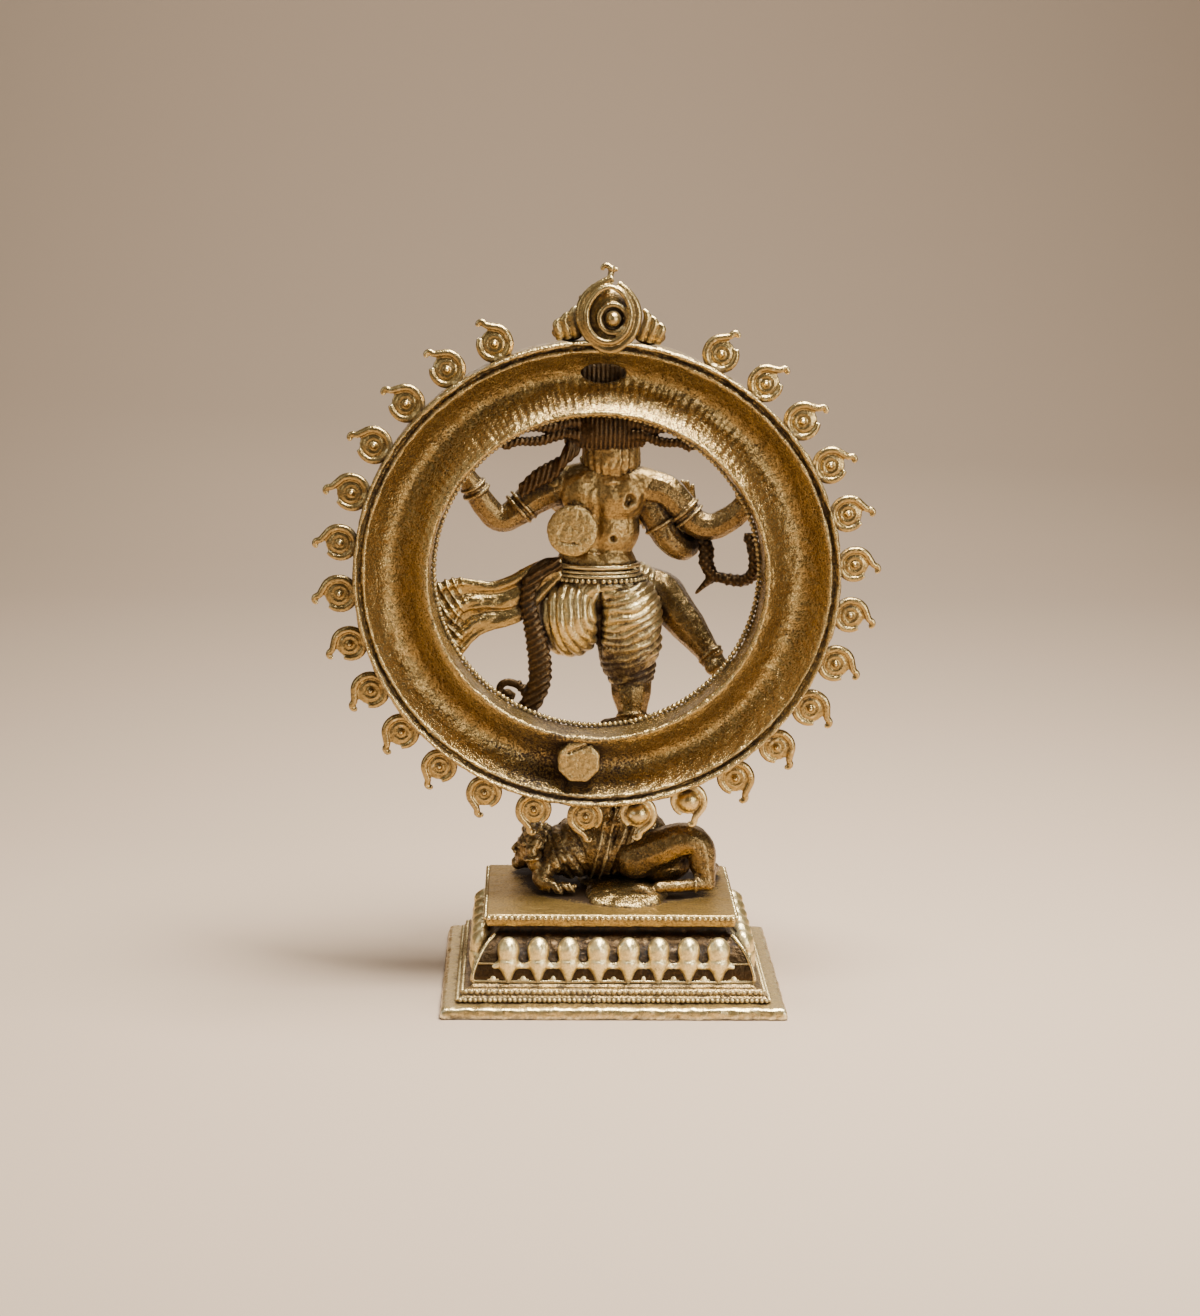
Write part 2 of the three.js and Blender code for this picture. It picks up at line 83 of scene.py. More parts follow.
def addCamera():
    yaw, pitch, roll = (radians(camera[k]) for k in ("yaw", "pitch", "roll"))
    ahead = Vector((sin(yaw) * cos(pitch), -cos(yaw) * cos(pitch), -sin(pitch)))
    right = ahead.cross(Vector((0, 0, 1))).normalized()
    up = right.cross(ahead)
    right, up = cos(roll) * right + sin(roll) * up, cos(roll) * up - sin(roll) * right
    turn = Matrix((right, up, -ahead)).transposed().to_euler()
    bpy.ops.object.camera_add(location=spot(*camera["place"]), rotation=turn)
    made = bpy.context.object
    made.data.lens = camera["lens"]
    made.data.clip_start = 0.01
    bpy.context.scene.camera = made


studio = {
    "floor": (0.46, 0.335, 0.225, 1),
    "floorSize": 3,
    "wallHeight": 2,
    "coveRadius": 0.45,
    "air": (0.86, 0.74, 0.6, 1),
    "airStrength": 0.13,
    "lights": [  # place in mm, aim in mm, size in m, watts
        ((-75, 40, 400), (0, 0, 90), 0.18, 6.8),
        ((-430, 430, 170), (0, 0, 60), 0.28, 2.2),
        ((430, 260, 260), (0, 0, 90), 0.3, 0.42),
        ((-60, -480, 330), (0, 0, 80), 0.5, 0.5),
        ((0, -330, 560), (0, -900, 330), 0.5, 2.3),
    ],
}


def addStudio():
    bpy.ops.mesh.primitive_plane_add(size=studio["floorSize"], location=(0, 0.6, 0))
    floor = bpy.context.object
    floor.name = "studioFloor"
    settle()
    setMode("EDIT")
    bpy.ops.mesh.select_mode(type="EDGE")
    bpy.ops.mesh.select_all(action="DESELECT")
    setMode("OBJECT")
    for edge in floor.data.edges:
        edge.select = all(floor.data.vertices[v].co.y < -0.5 for v in edge.vertices)
    setMode("EDIT")
    bpy.ops.mesh.extrude_region_move(TRANSFORM_OT_translate={"value": (0, 0, studio["wallHeight"])})
    bpy.ops.mesh.select_all(action="DESELECT")
    setMode("OBJECT")
    for edge in floor.data.edges:
        edge.select = all(v.co.y < -0.5 and v.co.z < 0.01 for v in (floor.data.vertices[i] for i in edge.vertices))
    setMode("EDIT")
    bpy.ops.mesh.bevel(offset=studio["coveRadius"], segments=12, affect="EDGES")
    setMode("OBJECT")
    smooth()
    paint = bpy.data.materials.new("paleFloor")
    paint.use_nodes = True
    shader = paint.node_tree.nodes["Principled BSDF"]
    shader.inputs["Base Color"].default_value = studio["floor"]
    shader.inputs["Roughness"].default_value = 0.8
    floor.data.materials.append(paint)
    world = bpy.data.worlds.new("studioAir")
    bpy.context.scene.world = world
    world.use_nodes = True
    world.node_tree.nodes["Background"].inputs["Color"].default_value = studio["air"]
    world.node_tree.nodes["Background"].inputs["Strength"].default_value = studio["airStrength"]
    for place, aim, size, watts in studio["lights"]:
        aimed = (spot(*aim) - spot(*place)).to_track_quat("-Z", "Y").to_euler()
        bpy.ops.object.light_add(type="AREA", location=spot(*place), rotation=aimed)
        lamp = bpy.context.object.data
        lamp.size = size
        lamp.energy = watts


addCamera()
addStudio()
print("camera, floor and lights placed")


# Brass
def addNode(tree, kind, **settings):
    node = tree.nodes.new(kind)
    for key, value in settings.items():
        setattr(node, key, value)
    return node


def noiseAt(tree, place, scale, detail=4, rough=0.6):
    node = addNode(tree, "ShaderNodeTexNoise")
    tree.links.new(place, node.inputs["Vector"])
    node.inputs["Scale"].default_value = scale
    node.inputs["Detail"].default_value = detail
    node.inputs["Roughness"].default_value = rough
    return node.outputs["Fac"]


def mathNode(tree, operation, a, b=0.5, clamp=False):
    node = addNode(tree, "ShaderNodeMath", operation=operation, use_clamp=clamp)
    for socket, value in zip(node.inputs, (a, b)):
        if isinstance(value, (int, float)):
            socket.default_value = value
        else:
            tree.links.new(value, socket)
    return node.outputs[0]


def ramp(tree, value, low, high, toLow=0, toHigh=1):
    node = addNode(tree, "ShaderNodeMapRange", interpolation_type="SMOOTHSTEP")
    for name, given in zip(("Value", "From Min", "From Max", "To Min", "To Max"), (value, low, high, toLow, toHigh)):
        if isinstance(given, (int, float)):
            node.inputs[name].default_value = given
        else:
            tree.links.new(given, node.inputs[name])
    return node.outputs["Result"]


def mixColour(tree, share, first, second, blend="MIX"):
    node = addNode(tree, "ShaderNodeMix", data_type="RGBA", blend_type=blend)
    for socket, value in ((node.inputs["Factor"], share), (node.inputs[6], first), (node.inputs[7], second)):
        if isinstance(value, (int, float, tuple)):
            socket.default_value = value
        else:
            tree.links.new(value, socket)
    return node.outputs[2]


# Old cast brass: brown patina in the recesses, bare metal on what hands and cloths reach, grains from the sand mould.
def makeAgedBrassGroup():
    tree = bpy.data.node_groups.new("agedBrassSurface", "ShaderNodeTree")
    plus, minus, times = (partial(mathNode, tree, kind) for kind in ("ADD", "SUBTRACT", "MULTIPLY"))
    for name, kind, value in (
        ("Highlight", "NodeSocketColor", (0.9, 0.75, 0.45, 1)),
        ("Body", "NodeSocketColor", (0.5, 0.34, 0.13, 1)),
        ("Recess", "NodeSocketColor", (0.06, 0.03, 0.01, 1)),
        ("Patina", "NodeSocketFloat", 0.5),
        ("Wear", "NodeSocketFloat", 0.6),
        ("Grain", "NodeSocketFloat", 0.5),
        ("Speckle", "NodeSocketFloat", 1),
        ("Reach", "NodeSocketFloat", 0.0025),
        ("Bare Roughness", "NodeSocketFloat", 0.34),
    ):
        made = tree.interface.new_socket(name, in_out="INPUT", socket_type=kind)
        made.default_value = value
    for name, kind in (("Colour", "NodeSocketColor"), ("Roughness", "NodeSocketFloat"), ("Metal", "NodeSocketFloat"),
                       ("Height", "NodeSocketFloat")):
        tree.interface.new_socket(name, in_out="OUTPUT", socket_type=kind)
    given = addNode(tree, "NodeGroupInput").outputs
    place = addNode(tree, "ShaderNodeTexCoord").outputs["Object"]
    blotches = noiseAt(tree, place, 170, 5, 0.62)
    flecks = noiseAt(tree, place, 700, 4, 0.65)
    sand = noiseAt(tree, place, 2100, 3, 0.6)
    nook = addNode(tree, "ShaderNodeAmbientOcclusion", samples=6)
    tree.links.new(given["Reach"], nook.inputs["Distance"])
    edge = addNode(tree, "ShaderNodeNewGeometry").outputs["Pointiness"]
    uneven = plus(times(minus(blotches, 0.5), 0.9),
                      times(minus(flecks, 0.5), 0.9))
    uneven = plus(uneven, times(minus(sand, 0.5), given["Speckle"]))
    openness = plus(nook.outputs["AO"], uneven)
    start = minus(given["Patina"], 0.28)
    stop = plus(given["Patina"], 0.26)
    clean = ramp(tree, openness, start, stop)
    ridge = times(ramp(tree, edge, 0.505, 0.56), given["Wear"], clamp=True)
    ridge = times(ridge, ramp(tree, flecks, 0.3, 0.6, 0.45, 1))
    colour = mixColour(tree, clean, given["Recess"], given["Body"])
    colour = mixColour(tree, ridge, colour, given["Highlight"])
    shade = ramp(tree, sand, 0.3, 0.7, 0.6, 1.3)
    tint = addNode(tree, "ShaderNodeCombineColor")
    for socket in tint.inputs:
        tree.links.new(shade, socket)
    colour = mixColour(tree, given["Grain"], colour, mixColour(tree, 1, colour, tint.outputs[0], "MULTIPLY"))
    rough = plus(given["Bare Roughness"], times(minus(1, clean), 0.26))
    rough = plus(rough, times(minus(flecks, 0.5), 0.22), clamp=True)
    metal = plus(times(clean, 0.45), 0.5, clamp=True)
    height = plus(times(sand, 0.45), times(flecks, 0.9))
    height = times(height, given["Grain"])
    out = addNode(tree, "NodeGroupOutput")
    for name, value in (("Colour", colour), ("Roughness", rough), ("Metal", metal), ("Height", height)):
        tree.links.new(value, out.inputs[name])
    return tree


agedBrassGroup = makeAgedBrassGroup()

toneParts = ("Highlight", "Body", "Recess", "Patina", "Wear", "Grain", "Speckle", "Reach", "Bare Roughness", "bump")
brassTones = {  # three colours, then the numbers named above; reach and bump are metres
    "castBrass": ((0.86, 0.68, 0.33, 1), (0.4, 0.265, 0.09, 1), (0.052, 0.029, 0.012, 1), 0.62, 0.3, 0.95, 2.2,
                  0.0019, 0.25, 0.00045),
    "firedBrass": ((0.88, 0.7, 0.35, 1), (0.385, 0.255, 0.088, 1), (0.04, 0.021, 0.008, 1), 0.72, 0.6, 0.6, 0.7,
                   0.0018, 0.23, 0.0003),
    "rubbedAndGlintBrass": ((1, 0.88, 0.56, 1), (0.62, 0.445, 0.175, 1), (0.055, 0.027, 0.009, 1), 0.62, 0.8, 0.5, 0.6,
                    0.0018, 0.29, 0.0003),
    "dullBrass": ((0.72, 0.53, 0.24, 1), (0.24, 0.15, 0.052, 1), (0.032, 0.016, 0.006, 1), 0.72, 0.6, 0.8, 1.5,
                  0.0025, 0.27, 0.0004),
    "darkBrass": ((0.32, 0.2, 0.09, 1), (0.056, 0.032, 0.013, 1), (0.01, 0.006, 0.003, 1), 0.66, 0.35, 0.7, 1, 0.002,
                  0.36, 0.0004),
    "foldBrass": ((1, 0.86, 0.52, 1), (0.56, 0.395, 0.15, 1), (0.05, 0.025, 0.009, 1), 0.76, 0.75, 0.5, 0.6, 0.0018,
                  0.28, 0.0003),
    "limbBrass": ((0.8, 0.62, 0.3, 1), (0.34, 0.215, 0.072, 1), (0.036, 0.019, 0.007, 1), 0.66, 0.7, 0.8, 1.2, 0.0022,
                  0.36, 0.0003),
    "petalBrass": ((1, 0.92, 0.6, 1), (0.88, 0.67, 0.29, 1), (0.07, 0.036, 0.012, 1), 0.6, 0.9, 0.5, 0.5, 0.0016,
                   0.36, 0.0003),
    "slabBrass": ((0.8, 0.6, 0.26, 1), (0.4, 0.25, 0.068, 1), (0.05, 0.026, 0.009, 1), 0.6, 0.4, 0.9, 1.4, 0.002,
                  0.42, 0.0003),
    "filedBrass": ((0.8, 0.62, 0.3, 1), (0.44, 0.3, 0.11, 1), (0.09, 0.05, 0.018, 1), 0.58, 0.6, 0.95, 1.6, 0.002,
                   0.36, 0.0004),
}
brassTones = {name: dict(zip(toneParts, tone)) for name, tone in brassTones.items()}


def makeBrass(name):
    tone = brassTones[name]
    made = bpy.data.materials.new(name)
    made.use_nodes = True
    tree = made.node_tree
    shader = tree.nodes["Principled BSDF"]
    surface = addNode(tree, "ShaderNodeGroup", node_tree=agedBrassGroup)
    for key, value in tone.items():
        if key in surface.inputs:
            surface.inputs[key].default_value = value
    bump = addNode(tree, "ShaderNodeBump")
    bump.inputs["Strength"].default_value = 0.9
    bump.inputs["Distance"].default_value = tone["bump"]
    for given, taken in (("Colour", "Base Color"), ("Roughness", "Roughness"), ("Metal", "Metallic")):
        tree.links.new(surface.outputs[given], shader.inputs[taken])
    tree.links.new(surface.outputs["Height"], bump.inputs["Height"])
    tree.links.new(bump.outputs["Normal"], shader.inputs["Normal"])
    return made


castBrass, firedBrass, rubbedAndGlintBrass, dullBrass, darkBrass, \
    foldBrass, limbBrass, petalBrass, slabBrass, filedBrass = (makeBrass(name) for name in brassTones)


# A brass darkened close to one point, its worn edges fading there too: painted shade in the ring's trough floor under
# the inner wall round the peg, painted shadow on the top slab under the dwarf, and a darker loincloth towards its hem
# over the standing leg.
def darkenedNear(base, name, point, near, far, depth):
    made = base.copy()
    made.name = name
    tree = made.node_tree
    surface = next(n for n in tree.nodes if n.type == "GROUP")
    place = addNode(tree, "ShaderNodeTexCoord").outputs["Object"]
    gap = addNode(tree, "ShaderNodeVectorMath", operation="DISTANCE")
    tree.links.new(place, gap.inputs[0])
    gap.inputs[1].default_value = spot(*point)
    tone = brassTones[base.name]
    for key, closeBy in (("Patina", depth), ("Wear", 0.1)):
        tree.links.new(ramp(tree, gap.outputs["Value"], near / 1000, far / 1000, closeBy, tone[key]),
                       surface.inputs[key])
    return made


# the trough floor at the ring's bottom goes dark round the peg: painted shade under the inner wall
ringTroughShadeBrass = darkenedNear(castBrass, "ringTroughShadeBrass", (10.5, 3, 49), 6, 21, 1.1)
clothBrass = darkenedNear(foldBrass, "clothBrass", (-3.4, -6, 60), 8.5, 17, 1.12)
# the slab's top goes dark round the dwarf: painted shadow under him
dwarfShadowSlabBrass = darkenedNear(slabBrass, "dwarfShadowSlabBrass", (-2, -10, 19), 19, 23.5, 1.5)
print("brass mixed")


# Hand tools
def selectOnly(*pieces):
    bpy.ops.object.select_all(action="DESELECT")
    for piece in pieces:
        piece.select_set(True)
    bpy.context.view_layer.objects.active = pieces[0]


def ball(place, radii, turn=(0, 0, 0), sides=20):
    bpy.ops.mesh.primitive_uv_sphere_add(segments=sides, ring_count=sides * 2 // 3, radius=0.001,
                                         location=spot(*place),
                                         rotation=[radians(a) for a in turn], scale=radii)
    return bpy.context.object


def hoop(place, radius, thick, turn=(0, 0, 0), steps=32):
    bpy.ops.mesh.primitive_torus_add(location=spot(*place), rotation=[radians(a) for a in turn], major_segments=steps,
                                     minor_segments=8, major_radius=radius / 1000, minor_radius=thick / 1000)
    return bpy.context.object


# A round strand through points of (x, y, z, thickness).
def strand(points, closed=False, roundness=3, finer=6):
    bpy.ops.curve.primitive_bezier_curve_add(location=(0, 0, 0))
    curve = bpy.context.object
    line = curve.data.splines[0]
    line.bezier_points.add(len(points) - 2)
    for knot, (x, y, z, thick) in zip(line.bezier_points, points):
        knot.co = spot(x, y, z)
        knot.radius = thick
        knot.handle_left_type = knot.handle_right_type = "AUTO"
    line.use_cyclic_u = closed
    curve.data.resolution_u = finer
    curve.data.bevel_depth = 0.001
    curve.data.bevel_resolution = roundness
    curve.data.use_fill_caps = not closed
    bpy.ops.object.convert(target="MESH")
    return bpy.context.object


# A strand with round ends.
def limb(points, **more):
    ends = [ball(p[:3], (p[3],) * 3, sides=14) for p in (points[0], points[-1])]
    return [strand(points, **more), *ends]


def joined(parts, name):
    selectOnly(*parts)
    bpy.ops.object.join()
    settle()
    piece = bpy.context.object
    piece.name = name
    return piece


def applied(piece, kind, **settings):
    selectOnly(piece)
    modifier = piece.modifiers.new(kind.lower(), kind)
    for key, value in settings.items():
        setattr(modifier, key, value)
    bpy.ops.object.modifier_apply(modifier=modifier.name)


# Melts parts into one skin, as wax is before casting.
def melted(parts, name, grid, rounds=4, strength=0.5):
    flat = []
    for part in parts:
        flat.extend(part if isinstance(part, list) else [part])
    piece = joined(flat, name)
    applied(piece, "REMESH", mode="VOXEL", voxel_size=grid / 1000)
    if rounds:
        applied(piece, "SMOOTH", factor=strength, iterations=rounds)
    smooth()
    return piece


# Raises the surface by depth (mm) times the weight that the pattern gives at (x, y, z) in millimetres.
def tooled(piece, depth, pattern):
    group = piece.vertex_groups.new(name="tooling")
    for vertex in piece.data.vertices:
        x, y, z = vertex.co
        weight = pattern((x - statueX) * 1000, y * 1000, z * 1000)
        if weight > 0.004:
            group.add([vertex.index], min(weight, 1), "REPLACE")
    applied(piece, "DISPLACE", strength=depth / 1000, mid_level=0, vertex_group="tooling")
    piece.vertex_groups.clear()


# Uneven surface of a sand casting, each grain a size and a depth in millimetres.
def roughCast(piece, *grains):
    for size, depth in grains:
        cloud = bpy.data.textures.new("mouldSand", "CLOUDS")
        cloud.noise_scale = size / 1000
        cloud.noise_depth = 2
        applied(piece, "DISPLACE", texture=cloud, strength=depth / 1000, mid_level=0.5, texture_coords="LOCAL")


def twinOf(piece, name, move):
    twin = piece.copy()
    twin.data = piece.data.copy()
    twin.name = name
    bpy.context.collection.objects.link(twin)
    twin.data.transform(move)
    if move.determinant() < 0:
        twin.data.flip_normals()
    return twin


def pearlOf(*radii):
    pearl = ball((0, 0, 0), radii, sides=8)
    settle()
    smooth()
    return pearl


def finished(piece, material, *nodes):
    piece.data.materials.clear()
    piece.data.materials.append(material)
    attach(piece, "root")
    if nodes:
        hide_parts(*nodes)
    return piece


# A ring laid round a limb at one point of it, square to the way the limb runs.
def cuff(place, ahead, radius, thick, steps=28):
    turn = Vector(ahead).to_track_quat("Z", "Y").to_euler()
    return hoop(place, radius, thick, [degrees(a) for a in turn], steps)


# Palm, four fingers and a thumb, reaching along "ahead" with the palm looking along "palm".
def handParts(wrist, ahead, palm, bend=10, spread=0.5, size=1, thumb=1):
    wrist, ahead, palm = Vector(wrist), Vector(ahead).normalized(), Vector(palm)
    palm = (palm - ahead * palm.dot(ahead)).normalized()
    side = ahead.cross(palm) * thumb
    bend = radians(bend)
    parts = []
    for k, length in enumerate((2.9, 3.4, 3.2, 2.4)):
        half = length * 0.5 * size
        out = (k - 1.5) * 0.95 * size
        root = wrist + ahead * 2.9 * size + side * out
        middle = root + (ahead * cos(bend) + palm * sin(bend)) * half + side * out * spread * 0.2
        tip = middle + (ahead * cos(bend * 2) + palm * sin(bend * 2)) * half + side * out * spread * 0.2
        parts += limb([(*(wrist + side * out * 0.5), 1.05 * size), (*root, 0.78 * size), (*middle, 0.56 * size),
                       (*tip, 0.44 * size)], roundness=2, finer=4)
    base = wrist + ahead * 0.9 * size - side * 0.8 * size
    parts += limb([(*base, 0.9 * size), (*(base - side * 1.5 * size + ahead * 1.2 * size + palm * 0.3), 0.62 * size),
                   (*(base - side * 2 * size + ahead * 2.9 * size + palm * 0.5), 0.46 * size)], roundness=2, finer=4)
    return parts


# A closed outline of (radius, along) spun about the Y or Z axis through the statue's middle.
def spun(outline, axis, steps, name):
    bpy.ops.mesh.primitive_circle_add(vertices=len(outline), radius=0.01)
    piece = bpy.context.object
    piece.name = name
    for vertex, (radius, along) in zip(piece.data.vertices, outline):
        vertex.co = (radius / 1000, along / 1000, 0) if axis == "Y" else (radius / 1000, 0, along / 1000)
    setMode("EDIT", "SELECT")
    bpy.ops.mesh.spin(steps=steps, angle=tau, center=(0, 0, 0), axis=(0, 1, 0) if axis == "Y" else (0, 0, 1))
    bpy.ops.mesh.select_all(action="SELECT")
    bpy.ops.mesh.remove_doubles(threshold=0.000004)
    bpy.ops.mesh.dissolve_degenerate(threshold=0.000002)
    bpy.ops.mesh.normals_make_consistent(inside=False)
    setMode("OBJECT")
    smooth()
    return piece


def scaleMatrix(x, y, z):
    return Matrix.Diagonal((x, y, z, 1))


# A turn or shift given about the pedestal's middle.
def aboutStatue(move):
    return toStatue @ move @ toStatue.inverted()


def shiftBy(x, y, z):
    return Matrix.Translation((x / 1000, y / 1000, z / 1000))


# Ring of fire
ring = {"x": 3.9, "z": 87, "squash": 0.966, "lean": -2, "outer": 49.2, "inner": 33.8, "front": 1, "back": 10,
        "beads": 196, "beadRadius": 0.58, "slotSize": (4.7, 4.5, 2.2),
        "slotAt": (0.0006, 0.0025, 0.0407)}  # slotAt in metres
ringPlace = shiftBy(ring["x"], 0, ring["z"]) @ Matrix.Rotation(radians(ring["lean"]), 4, "Y")


def ringPoint(angle, radius):
    t = radians(angle)
    return radius * sin(t), radius * cos(t) * ring["squash"]


def polar(x, z):
    dx, dz = x - ring["x"], (z - ring["z"]) / ring["squash"]
    return hypot(dx, dz), degrees(atan2(dx, dz)) - ring["lean"]


def makeFireRing():
    outline = [(33.6, 2), (33.7, 1.2), (34.1, 1), (35.1, 1), (35.5, 1.2), (35.8, 1.7), (37.4, 1.8), (38, 1.2),
               (38.8, 1.1),
               (39.4, 1.6), (41.5, 1.4), (43.6, 1.6), (44.2, 1.1), (45, 1.2), (45.6, 1.8), (46.9, 1.7), (47.3, 1.2),
               (48, 1),
               (48.9, 1.1), (49.2, 1.6), (49.1, 3), (49.1, 5.5), (49.1, 7.6), (48.9, 8.1), (49.2, 8.7), (49.2, 9.5),
               (48.8, 10),
               (48.3, 9.7), (48.1, 8.8), (47.85, 8.2), (47.5, 8.9), (47.1, 9.3), (46.7, 9), (46.4, 8.3), (45.6, 6.9),
               (44.7, 5.4),
               (43.7, 4.2), (42.6, 3.4), (41.4, 3.1), (40.2, 3.5), (39, 4.5), (37.9, 5.8), (36.9, 7.2), (36.1, 8.4),
               (35.5, 9.2),
               (35, 9.6), (34.7, 10), (34.2, 10), (33.85, 9.6), (33.8, 8.5), (33.75, 6.5), (33.7, 4)]
    piece = spun(outline, "Y", 288, "fireRing")
    piece.data.transform(toStatue @ ringPlace @ scaleMatrix(1, 1, ring["squash"]))
    applied(piece, "SUBSURF", levels=1, render_levels=1)
    inTrough = lambda x, y, z: max(0, min(1, (9.2 - y) / 2)) if 36.3 < polar(x, z)[0] < 46.8 and y > 2.6 else 0

    def ripples(x, y, z):  # hand-scraped ripples run up the inner wall of the trough
        radius, angle = polar(x, z)
        if not 35.8 < radius < 41 or y < 3 or y > 9.6:
            return 0
        return (0.5 + 0.5 * sin(angle * 2.9 + 2 * sin(angle * 0.37))) * max(0, cos(radians(angle) * 0.8))

    tooled(piece, 0.35, ripples)
    roughCast(piece, (1.1, 0.32), (2.6, 0.4), (6.5, 0.55))
    tooled(piece, -0.9, lambda x, y, z: inTrough(x, y, z) * max(0, 1 - abs(polar(x, z)[1] - 174.5) / 1.1))
    slot = ball((0, 0, 0), ring["slotSize"], sides=24)
    slot.location = toStatue @ ringPlace @ Vector(ring["slotAt"])
    applied(piece, "BOOLEAN", operation="DIFFERENCE", object=slot, solver="EXACT")
    drop(slot)
    selectOnly(piece)
    smooth()
    return finished(piece, ringTroughShadeBrass, "fire_ring")


def ringRow(name, pearl, angles, radius, y):
    row = []
    for angle in angles:
        x, z = ringPoint(angle, radius)
        row.append(twinOf(pearl, "ringPearl", aboutStatue(ringPlace @ shiftBy(x, y, z))))
    drop(pearl)
    finished(joined(row, name), castBrass)


def makeRingBeads():
    around = [i * 360 / ring["beads"] for i in range(ring["beads"])]
    ringRow("ringInnerBeads", pearlOf(*[ring["beadRadius"]] * 3), around, ring["inner"] - 0.6, 1.55)
    # the front's pearls leave out the slot at the top
    ringRow("ringFrontPearls", pearlOf(0.75, 0.55, 0.75), [i * 3.75 for i in range(3, 94)], 41.5, 1.35)


fire = {"count": 27, "firstAngle": 25.6, "eyeRise": 3.1, "y": 5.6, "grid": 0.2,
        "domed": (14, 15)}  # the domed ones are counted from 0


def makeFlameModel(dome):
    y = fire["y"]
    coil = [(2.3, 2.1, 0.5), (3, 0.5, 0.6), (2.5, -1.8, 0.68), (0, -3.1, 0.72), (-2.5, -1.8, 0.72), (-3.1, 0.4, 0.72),
            (-2.4, 2.2, 0.72), (-0.9, 3.3, 0.68), (0.2, 4.1, 0.62), (0.5, 4.9, 0.52), (1.4, 5, 0.45),
            (1.7, 4.3, 0.36)]
    parts = [
        ball((0, y, 0), (2.9, 0.45, 2.9)),
        strand([(x, y, z, thick * 1.14) for x, z, thick in coil]),
        hoop((0, y, 0), 1.62, 0.55, (90, 0, 0), 24),
        ball((0, y, 0), (0.72, 1.25, 0.72), sides=12),
        ball((0.1, y, -3.3), (1.9, 1, 1.2), sides=12),
    ]
    if dome:
        parts.append(ball((0, y + 0.5, -0.1), (2.35, 2.2, 2.3), sides=24))
    return melted(parts, "flameModel", fire["grid"], 1, 0.4)


def makeFlames():
    plain, domed = makeFlameModel(False), makeFlameModel(True)
    step = (360 - 2 * fire["firstAngle"]) / (fire["count"] - 1)
    for i in range(fire["count"]):
        angle = fire["firstAngle"] + i * step
        x, z = ringPoint(angle, ring["outer"])
        out = Vector((sin(radians(angle)), cos(radians(angle)))) * fire["eyeRise"]
        wobble = random.uniform(-4, 4)
        mirror = -1 if angle > 180 else 1
        size = random.uniform(0.96, 1.03)
        move = ringPlace @ shiftBy(x + out[0], 0, z + out[1]) @ Matrix.Rotation(radians(angle + wobble), 4, "Y")
        move = move @ scaleMatrix(mirror * size, 1, size)
        low = i in fire["domed"]
        flame = twinOf(domed if low else plain, f"flame{i + 1}", aboutStatue(move))
        # the two domed flames take the lighter rubbed brass, a painted highlight where they glint
        finished(flame, rubbedAndGlintBrass if low else firedBrass, f"flame_{i + 1:02d}")
    drop(plain, domed)


crest = {"rise": 52.3, "y": 9.2}


